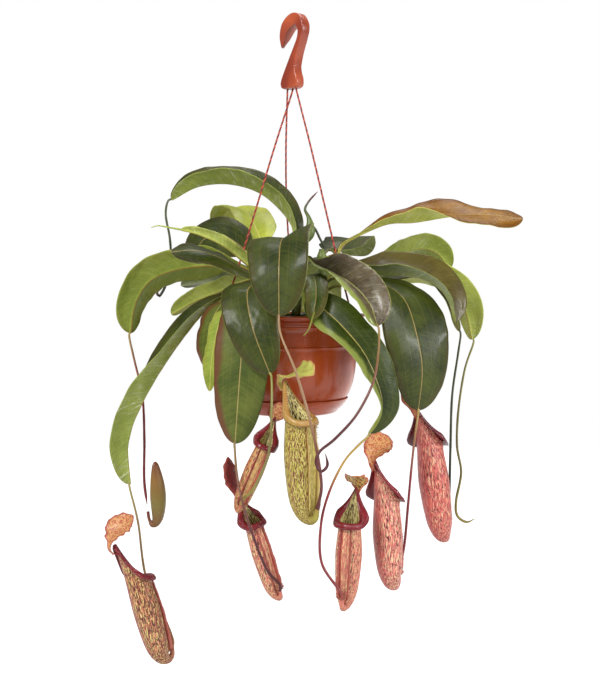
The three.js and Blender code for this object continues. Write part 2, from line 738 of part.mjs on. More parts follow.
// How far round to the back an angle is: the edge stays low as far as its two corners and then
// rises steeply.
function backShare(angle) {
  return ((1 - Math.cos(radians(angle))) / 2) ** 2.6;
}

// The stations of the cup's middle line, each with its centre, its own axes and its radius.
function cupStations(pitcher) {
  const { from, axis, length, front, side } = pitcherFrame(pitcher);
  const { radius } = pitcher;
  const place = ([f, u]) => along(from, [front, f * radius], [axis, u * radius]);
  const middle = along(from, [axis, lerp(1.8 * radius, length, 0.5)]);
  const throat = along(from, [axis, length - 0.55 * radius]);
  const points = [...CUP_LINE.map(place), middle, throat, along(from, [axis, length])];
  const radii = [...CUP_RADII, 1, 0.93, 1].map((share) => share * radius);
  return points.map((at, i) => {
    const before = points[Math.max(0, i - 1)];
    const after = points[Math.min(points.length - 1, i + 1)];
    const tangent = after.clone().sub(before).normalize();
    const outward = side.clone().cross(tangent);
    return { at, outward, side, axis, radius: radii[i], rise: [0, 0, 0, 0, 0, 0, 0.5, 1][i] };
  });
}

function cupPoint(station, pitcher, angle, inset, winged = inset === 0) {
  const { at, outward, side, axis, radius, rise } = station;
  const back = backShare(angle);
  const crest = WING_HEIGHT * Math.min(1, radius / 10) * (1 - 0.7 * rise);
  const wing = winged && WING_ANGLES.includes(angle) ? crest : 0;
  const reach = radius - inset + wing;
  const pinch = 1 - 0.72 * back ** 0.8 * rise;
  return along(
    at,
    [outward, reach * Math.cos(radians(angle))],
    [side, reach * Math.sin(radians(angle)) * pinch],
    [axis, pitcher.peak * back * rise],
  );
}

function cupGeometry(pitcher) {
  const stations = cupStations(pitcher);
  const outer = stations.map((s) => CUP_ANGLES.map((a) => cupPoint(s, pitcher, a, 0)));
  const inner = stations.slice(4).map((s) => CUP_ANGLES.map((a) => cupPoint(s, pitcher, a, CUP_WALL)));
  const rings = [...outer, ...inner.reverse()];
  const cap = fan(CUP_ANGLES.length);
  return skin(rings, { startCap: cap, endCap: cap, diagonal: (j) => j < CUP_ANGLES.length / 2 });
}

// The lip is a ring of its own on the cup's edge: it bows over outward, most at its two corners.
// Its flare and droop are for a cup of radius 16 and shrink with the cup.
const LIP = { clear: 1.8, crest: 3.4, flare: 4.2, corner: 4.5, backTaper: 1.6, cornerAt: 105 };
const LIP_DROOP = { front: 2.4, corner: 4.6, back: 1.4 };
function lipGeometry(pitcher) {
  const mouth = cupStations(pitcher).at(-1);
  const size = pitcher.radius / 16;
  const rings = CUP_ANGLES.map((angle) => {
    const edge = cupPoint(mouth, pitcher, angle, 0, false);
    const outward = along(
      mouth.outward.clone().multiplyScalar(Math.cos(radians(angle))),
      [mouth.side, Math.sin(radians(angle))],
    ).normalize();
    const corner = Math.exp(-(((Math.min(angle, 360 - angle) - LIP.cornerAt) / 30) ** 2));
    const back = backShare(angle);
    const bow = LIP.flare + LIP.corner * corner - LIP.backTaper * back;
    const flare = size * (pitcher.flare ?? 1) * bow;
    const droop = size * lerp(lerp(LIP_DROOP.front, LIP_DROOP.corner, corner), LIP_DROOP.back, back);
    const section = [
      [-CUP_WALL - 1, LIP.clear],
      [-CUP_WALL, LIP.crest],
      [flare * 0.6, LIP.crest],
      [flare + 1, -droop],
      [flare * 0.4, LIP.clear],
    ];
    return section.map(([r, u]) => along(edge, [outward, r], [mouth.axis, u]));
  });
  return ringOf(rings);
}

// A closed ring of sections, such as a lip: the last section joins the first. Its second half is
// split as the mirror of its first, as the cup under it is.
function ringOf(rings) {
  const count = rings[0].length;
  const index = [];
  rings.forEach((_, i) => {
    const next = ((i + 1) % rings.length) * count;
    for (let j = 0; j < count; j++) {
      const k = (j + 1) % count;
      const [a, b, c, d] = [i * count + j, i * count + k, next + k, next + j];
      if (i < rings.length / 2) index.push(a, b, c, a, c, d);
      else index.push(a, b, d, b, c, d);
    }
  });
  return facingOut(rings.flat(), index);
}

// The lid grows from the back of the cup below the lip, passes behind the lip and leans forward.
const LID_ROOT = 8.5; // from the back's point down to the lid's root
const LID_WIDTHS = [0.15, 0.15, 0.28, 0.85, 1, 0.92, 0.7, 0.28];
const LID_COLUMNS = [-1, -0.5, 0, 0.5, 1];

function lidGeometry(pitcher) {
  const mouth = cupStations(pitcher).at(-1);
  const { radius, peak, lid } = pitcher;
  const back = mouth.outward.clone().multiplyScalar(-1);
  const root = along(mouth.at, [back, radius - 0.6], [mouth.axis, peak - LID_ROOT]);
  const lean = radians(lid.lean);
  const blade = along(mouth.axis.clone().multiplyScalar(Math.cos(lean)), [mouth.outward, Math.sin(lean)]);
  const neck = along(root, [back, 4 + radius / 5], [mouth.axis, LID_ROOT + 2.5]);
  const length = lid.length * radius;
  const curve = curveThrough([
    root,
    along(root, [back, 3 + radius / 7], [mouth.axis, 2.5]),
    neck,
    along(neck, [mouth.axis, 0.12 * length], [blade, 0.3 * length]),
    along(neck, [mouth.axis, 0.16 * length], [blade, 0.65 * length]),
    along(neck, [mouth.axis, 0.08 * length], [blade, length]),
  ]);
  const rings = LID_WIDTHS.map((share, i) => {
    const u = i / (LID_WIDTHS.length - 1);
    const half = (share * lid.width * radius) / 2;
    const square = mouth.side.clone().cross(curve.getTangentAt(u)).normalize();
    const tilt = radians(lid.tilt * smooth(u, 0.3, 0.7));
    const face = along(square.clone().multiplyScalar(Math.cos(tilt)), [mouth.side, Math.sin(tilt)]);
    const across = along(mouth.side.clone().multiplyScalar(Math.cos(tilt)), [square, -Math.sin(tilt)]);
    const at = curve.getPointAt(u);
    const crown = (v) => 0.6 - 0.25 * half * v * v;
    const upper = LID_COLUMNS.map((v) => along(at, [across, v * half], [face, crown(v)]));
    const lower = upper.map((p) => along(p, [face, -1.3])).reverse();
    return [...upper, ...lower];
  });
  const cap = bandCap(LID_COLUMNS.length);
  return skin(rings, { startCap: cap, endCap: cap, diagonal: (j) => j < LID_COLUMNS.length });
}

for (const [name, pitcher] of Object.entries(PITCHERS)) {
  const body = solid(cupGeometry(pitcher)).add(solid(lidGeometry(pitcher)));
  add(name, geometryOf(body), FINISH[pitcher.finish]);
  add(name.replace("pitcher", "lip"), lipGeometry(pitcher), FINISH[pitcher.lip]);
}

// ---------------------------------------------------------------- tendrils
// Each runs from its leaf's tip through its own points to a cup's tendril end, or to a bare tip.
const TENDRILS = {
  tendril_arch_high: {
    leaf: "leaf_arch_high",
    path: [
      [-159, 8, -224], [-155, 14, -251], [-155, 20, -275], [-160, 22, -304], [-169, 22, -321],
      [-172, 20, -313], [-169, 20, -305],
    ],
  },
  tendril_low_left: {
    leaf: "leaf_long_left", pitcher: "pitcher_low_left",
    path: [[-189, -35, -588], [-182, -23, -655], [-160, -24, -705]],
  },
  tendril_left: {
    leaf: "leaf_hang_front", pitcher: "pitcher_left",
    path: [[-29, -132, -440], [-32, -138, -488], [-48, -126, -528]],
  },
  tendril_left_low: {
    leaf: "leaf_hang_red", pitcher: "pitcher_left_low",
    path: [[-66, -124, -524], [-54, -136, -566], [-36, -118, -620]],
  },
  tendril_middle: {
    leaf: "leaf_front_centre", pitcher: "pitcher_middle",
    path: [[-18, -138, -362], [-1, -154, -403], [16, -158, -464], [25, -150, -517]],
  },
  tendril_right: {
    leaf: "leaf_front_right", pitcher: "pitcher_right",
    path: [[66, -116, -484], [50, -124, -501], [34, -130, -533], [25, -132, -569], [26, -130, -612]],
  },
  tendril_right_far: {
    leaf: "leaf_right_broad", pitcher: "pitcher_right_far",
    path: [[132, -88, -476], [129, -76, -518], [127, -62, -560], [124, -52, -608]],
  },
  tendril_far_right: {
    leaf: "leaf_right_under", pitcher: "pitcher_far_right",
    path: [[190, -12, -390], [184, -8, -440], [183, -4, -500], [181, -12, -555]],
  },
  tendril_young: {
    leaf: "leaf_big_left",
    path: [
      [-195, -16, -395], [-186, -12, -440], [-183, -20, -490], [-182, -32, -535],
      [-178, -38, -565],
    ],
  },
  tendril_right_brown: {
    leaf: "leaf_right_brown",
    path: [
      [88, -122, -379], [81, -142, -411], [63, -150, -445], [40, -162, -469], [23, -170, -482],
      [19, -172, -494], [24, -172, -503], [31, -170, -497], [29, -172, -484],
    ],
  },
  tendril_right_pale: {
    leaf: "leaf_right_pale",
    path: [
      [203, 22, -411], [195, 16, -459], [193, 12, -502], [198, 10, -535], [192, 8, -569],
      [193, 6, -587], [204, 5, -595], [214, 4, -591],
    ],
  },
};

function tendrilCurve({ leaf, path, pitcher }) {
  const { at, tangent } = leafTips[leaf];
  const points = [along(at, [tangent, 2 * GAP]), along(at, [tangent, 5]), ...path.map(vec)];
  if (pitcher) {
    const [end, next] = cupStations(PITCHERS[pitcher]);
    const back = end.at.clone().sub(next.at).normalize();
    points.push(along(end.at, [back, 9]), along(end.at, [back, GAP]));
  }
  return curveThrough(points);
}

for (const [name, tendril] of Object.entries(TENDRILS)) {
  const curve = tendrilCurve(tendril);
  const radiusAt = (u) => TENDRIL.radius * lerp(0.85, 1.15, u);
  const stations = evenStations(5 + 2 * tendril.path.length);
  add(name, rod(curve, stations, radiusAt, TENDRIL.sides), FINISH.tendril);
}

// The young pitcher is still shut: a bud that turns up from its tendril's end.
const YOUNG_LINE = [
  [-177, -39, -573], [-175, -40, -583], [-170, -40, -588], [-165, -40, -578], [-165, -40, -548],
  [-168, -40, -514],
];
const young = (u) => 1.8 + 7.5 * Math.sin(Math.PI * Math.min(1, Math.max(0, (u - 0.12) / 0.9))) ** 0.8;
add("pitcher_young", rod(curveThrough(YOUNG_LINE.map(vec)), evenStations(14), young, 10), FINISH.bud);

export default plant;
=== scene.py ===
"""Dresses a hanging pitcher plant (Nepenthes), its pot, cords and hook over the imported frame."""
import logging
import math
from dataclasses import dataclass
from enum import Enum
from typing import Any, Callable, Sequence

import bpy
import numpy as np
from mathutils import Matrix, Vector


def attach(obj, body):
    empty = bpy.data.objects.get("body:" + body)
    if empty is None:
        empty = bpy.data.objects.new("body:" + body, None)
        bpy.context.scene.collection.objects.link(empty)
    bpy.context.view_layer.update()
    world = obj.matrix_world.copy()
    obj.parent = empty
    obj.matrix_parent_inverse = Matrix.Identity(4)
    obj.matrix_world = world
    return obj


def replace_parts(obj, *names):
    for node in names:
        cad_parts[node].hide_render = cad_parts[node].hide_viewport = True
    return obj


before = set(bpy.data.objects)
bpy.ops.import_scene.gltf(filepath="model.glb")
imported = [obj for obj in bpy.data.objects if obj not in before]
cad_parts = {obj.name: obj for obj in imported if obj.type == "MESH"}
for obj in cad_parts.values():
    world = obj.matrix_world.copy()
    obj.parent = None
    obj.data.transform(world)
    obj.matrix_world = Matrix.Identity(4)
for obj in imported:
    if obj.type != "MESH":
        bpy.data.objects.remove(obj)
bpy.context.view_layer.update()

LOG = logging.getLogger("plant")
MM = 0.001
UP = np.array([0.0, 0.0, 1.0])
EAST = np.array([1.0, 0.0, 0.0])
TURN = 2 * math.pi
Colour = tuple[float, float, float, float]
Steps = Sequence[Sequence[float]]


# ------------------------------------------------------------------ numbers and directions
def paint(red: float, green: float, blue: float) -> Colour:
    """The linear colour of display values from 0 to 255."""
    linear = [
        c / 12.92 if c <= 0.04045 else ((c + 0.055) / 1.055) ** 2.4
        for c in (red / 255, green / 255, blue / 255)
    ]
    return (linear[0], linear[1], linear[2], 1.0)


def paints(*shades: Sequence[float]) -> tuple[Colour, ...]:
    """The linear colours of several (red, green, blue)."""
    return tuple(paint(*shade) for shade in shades)


def stops(*rows: Sequence[float]) -> tuple[tuple[float, Colour], ...]:
    """A ramp's stops from rows of (share, red, green, blue)."""
    return tuple((row[0], paint(*row[1:])) for row in rows)


def unit(v: np.ndarray) -> np.ndarray:
    """The directions of one or more vectors."""
    return v / np.maximum(np.linalg.norm(v, axis=-1, keepdims=True), 1e-12)


def smooth(x: Any, low: float, high: float) -> Any:
    """0 below low, 1 above high and an S between them."""
    t = np.clip((np.asarray(x, float) - low) / (high - low), 0, 1)
    return t * t * (3 - 2 * t)


def bearing(degrees: float) -> np.ndarray:
    """The level direction of a bearing."""
    angle = math.radians(degrees)
    return np.array([math.cos(angle), math.sin(angle), 0.0])


def keyed(values: Sequence[float], u: np.ndarray) -> np.ndarray:
    """A list spaced evenly from the base to the tip, read at shares of the way."""
    return np.interp(u, np.linspace(0, 1, len(values)), values)


def dot(a: np.ndarray, b: np.ndarray) -> np.ndarray:
    """The dot products of rows, kept as a column."""
    return np.sum(a * b, axis=-1, keepdims=True)


def ripple(x: np.ndarray, seed: int) -> np.ndarray:
    """A smooth irregular wave from about -1 to 1."""
    rng = np.random.default_rng(seed)
    waves = [np.sin(x * rng.uniform(0.6, 2.4) + rng.uniform(0, 6.3)) for _ in range(4)]
    return sum(waves) / 4 * 1.6


def fields(*parts: Any) -> np.ndarray:
    """Numbers for each point, every part stretched to the same shape and stacked."""
    return np.stack(np.broadcast_arrays(*parts), -1)


def angles(count: int) -> np.ndarray:
    """Even angles round a full turn."""
    return np.linspace(0, TURN, count, endpoint=False)


def rings(side: np.ndarray, other: np.ndarray, angle: np.ndarray) -> np.ndarray:
    """Directions round a line, as stations by angles."""
    cos, sin = np.cos(angle)[None, :, None], np.sin(angle)[None, :, None]
    return side[:, None] * cos + other[:, None] * sin


def bend(a: np.ndarray, b: np.ndarray, c: np.ndarray, d: np.ndarray, w: np.ndarray) -> np.ndarray:
    """Points at shares of the way from b to c on a smooth line through a, b, c and d."""
    start, end = (c - a) / 2, (d - b) / 2
    square = -3 * b + 3 * c - 2 * start - end
    return b + start * w + square * w**2 + (2 * b - 2 * c + start + end) * w**3


class Route:
    """A smooth line through points, read by its share of length, as the frame's rods follow it."""

    DIVISIONS = 200

    def __init__(self, points: Steps) -> None:
        """Measures the line through the points."""
        self.points = np.array(points, float)
        steps = np.diff(self.place(np.linspace(0, 1, self.DIVISIONS + 1)), axis=0)
        self.reach = np.concatenate([[0.0], np.cumsum(np.linalg.norm(steps, axis=1))])

    @property
    def length(self) -> float:
        """The line's whole length."""
        return float(self.reach[-1])

    def place(self, t: np.ndarray) -> np.ndarray:
        """Points at shares of the line's own parameter."""
        p = self.points
        ends = np.vstack([2 * p[0] - p[1], p, 2 * p[-1] - p[-2]])
        spot = np.clip(np.asarray(t, float), 0, 1) * (len(p) - 1)
        k = np.minimum(spot.astype(int), len(p) - 2)
        return bend(ends[k], ends[k + 1], ends[k + 2], ends[k + 3], (spot - k)[:, None])

    def _spot(self, u: np.ndarray) -> np.ndarray:
        """The line's own parameter at shares of its length."""
        return np.interp(np.asarray(u) * self.length, self.reach, np.linspace(0, 1, len(self.reach)))

    def at(self, u: np.ndarray) -> np.ndarray:
        """Points at shares of the length."""
        return self.place(self._spot(u))

    def heading(self, u: np.ndarray) -> np.ndarray:
        """Directions of the line at shares of the length."""
        t = self._spot(u)
        return unit(self.place(np.minimum(t + 1e-4, 1)) - self.place(np.maximum(t - 1e-4, 0)))


def carried(headings: np.ndarray, first: np.ndarray) -> np.ndarray:
    """Sideways directions carried along a line without twisting.

    Args:
        headings: The line's direction at each station.
        first: The sideways direction that it starts with.

    Returns:
        One sideways direction for each station.
    """
    sides, side = [], first
    for heading in headings:
        side = unit(side - heading * float(side @ heading))
        sides.append(side)
    return np.array(sides)


# ------------------------------------------------------------------ meshes
class Form:
    """A mesh under construction: points, faces, finishes, and flat coordinates for its finish.

    span holds shares (along, across, and the distance to an edge in metres), and metric holds
    metres (along, across) and a number that differs from piece to piece.
    """

    def __init__(self) -> None:
        """Starts empty."""
        self.points: list[np.ndarray] = []
        self.span: list[np.ndarray] = []
        self.metric: list[np.ndarray] = []
        self.faces: list[list[int]] = []
        self.finish: list[int] = []
        self.count = 0

    def _add(self, points: np.ndarray, span: np.ndarray | None, metric: np.ndarray | None) -> int:
        """Adds points with their flat coordinates and returns the first one's number."""
        flat = points.reshape(-1, 3)
        first = self.count
        self.points.append(flat)
        for kept, given in ((self.span, span), (self.metric, metric)):
            kept.append(np.zeros_like(flat) if given is None else given.reshape(-1, 3))
        self.count += len(flat)
        return first

    def grid(
        self,
        rows: np.ndarray,
        finish: int | Sequence[int] = 0,
        around: bool = False,
        span: np.ndarray | None = None,
        metric: np.ndarray | None = None,
        caps: bool = False,
        loop: bool = False,
    ) -> None:
        """Adds a surface of rows of points.

        Args:
            rows: The points, as rows by columns by three, in millimetres.
            finish: The finish's number, or one for each column of faces.
            around: Whether each row closes on itself.
            span: Shares for each point.
            metric: Metres for each point.
            caps: Whether the first and last rows are filled.
            loop: Whether the last row joins the first.
        """
        r, c = rows.shape[:2]
        first = self._add(rows * MM, span, metric)
        columns = c if around else c - 1
        numbers = [finish] * columns if isinstance(finish, int) else list(finish)
        for i in range(r if loop else r - 1):
            low, high = first + i * c, first + ((i + 1) % r) * c
            for j in range(columns):
                k = (j + 1) % c
                self.faces.append([low + j, low + k, high + k, high + j])
                self.finish.append(numbers[j])
        if caps:
            last = first + (r - 1) * c
            self.faces.append([first + j for j in reversed(range(c))])
            self.faces.append([last + j for j in range(c)])
            self.finish += [numbers[0], numbers[0]]

    def sheet(
        self, top: np.ndarray, under: np.ndarray, face: int, back: int, span: np.ndarray, metric: np.ndarray
    ) -> None:
        """Adds a thin closed sheet of two faces, each with its own finish.

        Args:
            top: The face's points, as rows by columns by three, in millimetres.
            under: The back's points, in the same order.
            face: The face's finish.
            back: The finish of the back and of the edges.
            span: Shares for each point of the face, then of the back from its last column.
            metric: Metres for each point, in the same order.
        """
        columns = top.shape[1]
        rows = np.concatenate([top, under[:, ::-1]], 1)
        self.grid(rows, [face] * (columns - 1) + [back] * (columns + 1), True, span, metric, caps=True)

    def tube(
        self,
        route: Route,
        radii: Callable[[np.ndarray], np.ndarray],
        stations: np.ndarray,
        sides: int,
        finish: int = 0,
        seed: float = 0.0,
    ) -> None:
        """Adds a round rod along a route.

        Args:
            route: The line that it follows, in millimetres.
            radii: Its radius at shares of the way.
            stations: The shares of the way where it has a ring.
            sides: How many sides it has.
            finish: The finish's number.
            seed: The number that differs from piece to piece.
        """
        heading = route.heading(stations)
        upright = abs(heading[0][2]) > 0.9
        side = carried(heading, EAST if upright else UP)
        angle = angles(sides)
        radius = radii(stations)[:, None]
        ring = rings(side, np.cross(heading, side), angle)
        rows = route.at(stations)[:, None] + ring * radius[..., None]
        share, turn = stations[:, None], angle / TURN
        span = fields(share, turn, radius * MM)
        metric = fields(share * route.length * MM, turn * TURN * radius * MM, seed)
        self.grid(rows, finish, True, span, metric, caps=True)

    def lathe(self, profile: Steps, sides: int, at: Sequence[float]) -> None:
        """Adds a turned body from (radius, height) pairs about an upright line through a point."""
        line = np.array(profile, float)
        radius, height = line[:, :1], line[:, 1:]
        angle = angles(sides)
        turn = angle / TURN
        rows = radius[..., None] * fields(np.cos(angle), np.sin(angle), 0.0) + height[..., None] * UP
        span = fields(turn, height * MM, 0.0)
        metric = fields(turn * radius * TURN * MM, height * MM, 0.0)
        self.grid(rows + np.array(at, float), 0, True, span, metric)

    def solid(self, corners: np.ndarray, faces: list[list[int]], finish: int, seed: float) -> None:
        """Adds loose corners, in millimetres, and the faces between them."""
        metric = fields(corners[:, 0] * MM, corners[:, 1] * MM, seed)
        first = self._add(corners * MM, None, metric)
        self.faces += [[first + k for k in face] for face in faces]
        self.finish += [finish] * len(faces)

    def build(self, name: str, finishes: Sequence[bpy.types.Material], slot: str) -> bpy.types.Object:
        """Makes the Blender object.

        Args:
            name: The object's name.
            finishes: Its materials, in the order of the finishes' numbers.
            slot: Not used.

        Returns:
            The object, riding on the root body.
        """
        mesh = bpy.data.meshes.new(name)
        mesh.from_pydata(np.concatenate(self.points), [], self.faces)
        for label, values in (("span", self.span), ("metric", self.metric)):
            layer = mesh.attributes.new(label, "FLOAT_VECTOR", "POINT")
            layer.data.foreach_set("vector", np.concatenate(values).ravel())
        for material in finishes:
            mesh.materials.append(material)
        mesh.polygons.foreach_set("material_index", self.finish)
        mesh.update()
        mesh.shade_smooth()
        return place(name, mesh)


def linked(name: str, data: bpy.types.ID) -> bpy.types.Object:
    """A new object in the scene."""
    made = bpy.data.objects.new(name, data)
    bpy.context.scene.collection.objects.link(made)
    return made


def aimed(name: str, data: bpy.types.ID, at: Sequence[float], aim: Sequence[float]) -> bpy.types.Object:
    """A new camera or light in the scene, looking from one place to another."""
    made = linked(name, data)
    made.location = at
    made.rotation_mode = "QUATERNION"
    made.rotation_quaternion = Vector(np.array(aim) - np.array(at)).to_track_quat("-Z", "Y")
    return made


def place(name: str, mesh: bpy.types.Mesh) -> bpy.types.Object:
    """A new object that rides on the root body."""
    made = linked(name, mesh)
    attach(made, "root")
    LOG.info("made %s: %d faces", name, len(mesh.polygons))
    return made


# ------------------------------------------------------------------ shader maths
class Value:
    """A socket that is written in expressions: each operator adds the node that works it out."""

    def __init__(self, shader: "Nodes", socket: bpy.types.NodeSocket) -> None:
        """Keeps the socket and the shader that it belongs to."""
        self.shader, self.socket = shader, socket

    def _math(self, operation: str, *terms: Any) -> "Value":
        """The result of a Math node on the terms."""
        return self.shader.value("ShaderNodeMath", {"operation": operation}, dict(enumerate(terms)))

    def __add__(self, other: Any) -> "Value":
        """Self plus other."""
        return self._math("ADD", self, other)

    def __sub__(self, other: Any) -> "Value":
        """Self less other."""
        return self._math("SUBTRACT", self, other)

    def __rsub__(self, other: Any) -> "Value":
        """Other less self."""
        return self._math("SUBTRACT", other, self)

    def __mul__(self, other: Any) -> "Value":
        """Self times other."""
        return self._math("MULTIPLY", self, other)

    def __pow__(self, other: Any) -> "Value":
        """Self to a power."""
        return self._math("POWER", self, other)

    def __abs__(self) -> "Value":
        """Self without its sign."""
        return self._math("ABSOLUTE", self)

    __radd__, __rmul__ = __add__, __mul__

    def sine(self) -> "Value":
        """The sine of self."""
        return self._math("SINE", self)

    def fraction(self) -> "Value":
        """Self less its whole turns."""
        return self._math("FRACT", self)

    def most(self, other: Any) -> "Value":
        """The larger of self and other."""
        return self._math("MAXIMUM", self, other)

    def least(self, other: Any) -> "Value":
        """The smaller of self and other."""
        return self._math("MINIMUM", self, other)

    def step(self, low: float, high: float) -> "Value":
        """0 at low, 1 at high, and an S between them; low may be the larger."""
        settings = {"interpolation_type": "SMOOTHSTEP"}
        sockets = {0: self, 1: low, 2: high, 3: 0.0, 4: 1.0}
        return self.shader.value("ShaderNodeMapRange", settings, sockets)

    def wave(self, gap: float) -> "Value":
        """A wave from 0 to 1 that comes round once in every gap."""
        return (self * (TURN / gap)).sine() * 0.5 + 0.5

    def peak(self, sharp: float) -> "Value":
        """1 where self is 0, falling to 0 at one part in sharp on either side."""
        return 1 - (abs(self) * sharp).least(1)


class Nodes:
    """A node tree under construction."""

    def __init__(self, tree: bpy.types.NodeTree) -> None:
        """Keeps the tree that nodes are added to."""
        self.tree = tree

    def node(self, kind: str, settings: dict[str, Any], sockets: dict[Any, Any]) -> bpy.types.Node:
        """Adds a node.

        Args:
            kind: The node's type.
            settings: Its own settings, with a ramp's stops under "stops".
            sockets: Values or links for its sockets, by name or number.

        Returns:
            The node.
        """
        made = self.tree.nodes.new(kind)
        for label, setting in settings.items():
            if label != "stops":
                setattr(made, label, setting)
                continue
            stops = made.color_ramp.elements
            for number, (place_at, colour) in enumerate(setting):
                stop = stops[number] if number < 2 else stops.new(place_at)
                stop.position, stop.color = place_at, colour
        for label, given in sockets.items():
            self.feed(made, label, given)
        return made

    def feed(self, node: bpy.types.Node, label: Any, given: Any) -> None:
        """Links a value to a node's socket, or sets the socket."""
        if isinstance(given, Value):
            self.tree.links.new(given.socket, node.inputs[label])
        elif given is not None:
            node.inputs[label].default_value = given

    def value(self, kind: str, settings: dict[str, Any], sockets: dict[Any, Any], output: Any = 0) -> Value:
        """One output of a new node, for use in expressions."""
        return Value(self, self.node(kind, settings, sockets).outputs[output])

    def parts(self, vector: Value) -> tuple[Value, Value, Value]:
        """The three numbers of a vector."""
        x, y, z = self.node("ShaderNodeSeparateXYZ", {}, {0: vector}).outputs
        return Value(self, x), Value(self, y), Value(self, z)

    def attribute(self, label: str) -> tuple[Value, Value, Value]:
        """The three numbers that a mesh carries under a name."""
        return self.parts(self.value("ShaderNodeAttribute", {"attribute_name": label}, {}, "Vector"))

    def vector(self, x: Any, y: Any, z: Any) -> Value:
        """A vector of three numbers."""
        return self.value("ShaderNodeCombineXYZ", {}, {0: x, 1: y, 2: z})

    def flat(self, along_by: float = 1.0, across_by: float = 1.0) -> Value:
        """The place on the piece laid flat, in metres, stretched or drawn in along and across it."""
        along, across, seed = self.attribute("metric")
        return self.vector(along * along_by, across * across_by, seed)

    def here(self) -> Value:
        """The place on the object, in metres."""
        return self.value("ShaderNodeTexCoord", {}, {}, "Object")

    def noise(self, where: Value, scale: float, detail: float = 3.0, rough: float = 0.5) -> Value:
        """Soft noise from 0 to 1 about 0.5."""
        sockets = {"Vector": where, "Scale": scale, "Detail": detail, "Roughness": rough}
        return self.value("ShaderNodeTexNoise", {}, sockets)

    def cells(self, where: Value, scale: float) -> Value:
        """The distance to the nearest of scattered points."""
        return self.value("ShaderNodeTexVoronoi", {}, {"Vector": where, "Scale": scale}, "Distance")

    def ramp(self, at: Value, stops: Sequence[tuple[float, Colour]]) -> Value:
        """A colour from stops along a number."""
        return self.value("ShaderNodeValToRGB", {"stops": stops}, {0: at})

    def mix(self, share: Any, first: Any, second: Any) -> Value:
        """One colour turning into another."""
        return self.value("ShaderNodeMix", {"data_type": "RGBA"}, {0: share, 6: first, 7: second}, 2)

    def shade(self, colour: Any, by: Value) -> Value:
        """A colour made lighter or darker by a number."""
        grey = self.vector(by, by, by)
        return self.value("ShaderNodeVectorMath", {"operation": "MULTIPLY"}, {0: colour, 1: grey})

    def bump(self, height: Value, depth: float, strength: float) -> Value:
        """A normal that a height from 0 to 1 raises by a depth in metres."""
        sockets = {"Height": height, "Distance": depth, "Strength": strength}
        return self.value("ShaderNodeBump", {}, sockets)


class Shader(Nodes):
    """A material under construction."""

    def __init__(self, name: str, **constants: float) -> None:
        """Starts a material.

        Args:
            name: The material's name.
            constants: Numbers for the shader's own sockets, with _ for a space in their names.
        """
        self.material = bpy.data.materials.new(name)
        self.material.use_nodes = True
        super().__init__(self.material.node_tree)
        self.surface = self.tree.nodes["Principled BSDF"]
        for label, number in constants.items():
            self.surface.inputs[label.replace("_", " ")].default_value = number

    def finish(self, colour: Any, roughness: Any, normal: Value | None = None) -> bpy.types.Material:
        """Feeds the surface and gives the material."""
        for label, given in (("Base Color", colour), ("Roughness", roughness), ("Normal", normal)):
            self.feed(self.surface, label, given)
        return self.material


# ------------------------------------------------------------------ plastics, cord and soil
@dataclass(frozen=True)
class MouldedPlastic:
    """Glossy moulded plastic, with faint flow marks, fine scuffs and a little lime bloom."""

    name: str
    colour: Colour
    deep: Colour
    gloss: float
    pale_streaks: float

    def material(self) -> bpy.types.Material:
        """Makes the material."""
        shader = Shader(self.name, Coat_Weight=0.22, Coat_Roughness=0.12, IOR=1.46)
        here = shader.here()
        broad = shader.noise(here, 16, 3)
        fine = shader.noise(here, 620, 3, 0.6)
        x, y, high = shader.parts(here)
        streaks = shader.noise(shader.vector(x * 6, y * 6, high), 34, 4, 0.6)
        colour = shader.mix(broad.step(0.35, 0.7), self.colour, self.deep)
        chalk = (streaks.step(0.56, 0.76) * fine.step(0.45, 0.7)) * self.pale_streaks
        colour = shader.mix(chalk, colour, paint(226, 196, 176))
        roughness = self.gloss + broad * 0.08 + chalk * 0.3
        normal = shader.bump(fine * 0.35 + shader.noise(here, 90, 2) * 0.65, 0.00012, 0.5)
        return shader.finish(colour, roughness, normal)


@dataclass(frozen=True)
class TwistedYarn:
    """Shiny polypropylene yarn, one strand's colour."""

    name: str
    colour: Colour
    deep: Colour

    def material(self) -> bpy.types.Material:
        """Makes the material, with fine fibres along the strand."""
        shader = Shader(self.name, Sheen_Weight=0.15, IOR=1.48)
        fibres = shader.noise(shader.flat(0.12, 3.0), 2600, 2, 0.6)
        colour = shader.mix(fibres.step(0.3, 0.7), self.deep, self.colour)
        normal = shader.bump(fibres, 0.00012, 0.8)
        return shader.finish(colour, 0.34, normal)


@dataclass(frozen=True)
class PottingMix:
    """Dark damp potting mix, bark or moss, by its colours."""

    name: str
    colours: tuple[Colour, Colour, Colour]
    scale: float
    roughness: float

    def material(self) -> bpy.types.Material:
        """Makes the material."""
        shader = Shader(self.name)
        here = shader.here()
        _, _, seed = shader.attribute("metric")
        broad = shader.noise(here, self.scale, 5, 0.65)
        fine = shader.noise(here, self.scale * 9, 4, 0.7)
        value = broad * 0.6 + fine * 0.4 + (seed - 0.5) * 0.25
        colour = shader.ramp(value, list(zip((0.32, 0.5, 0.7), self.colours)))
        normal = shader.bump(fine, 0.0008, 0.9)
        return shader.finish(colour, self.roughness, normal)


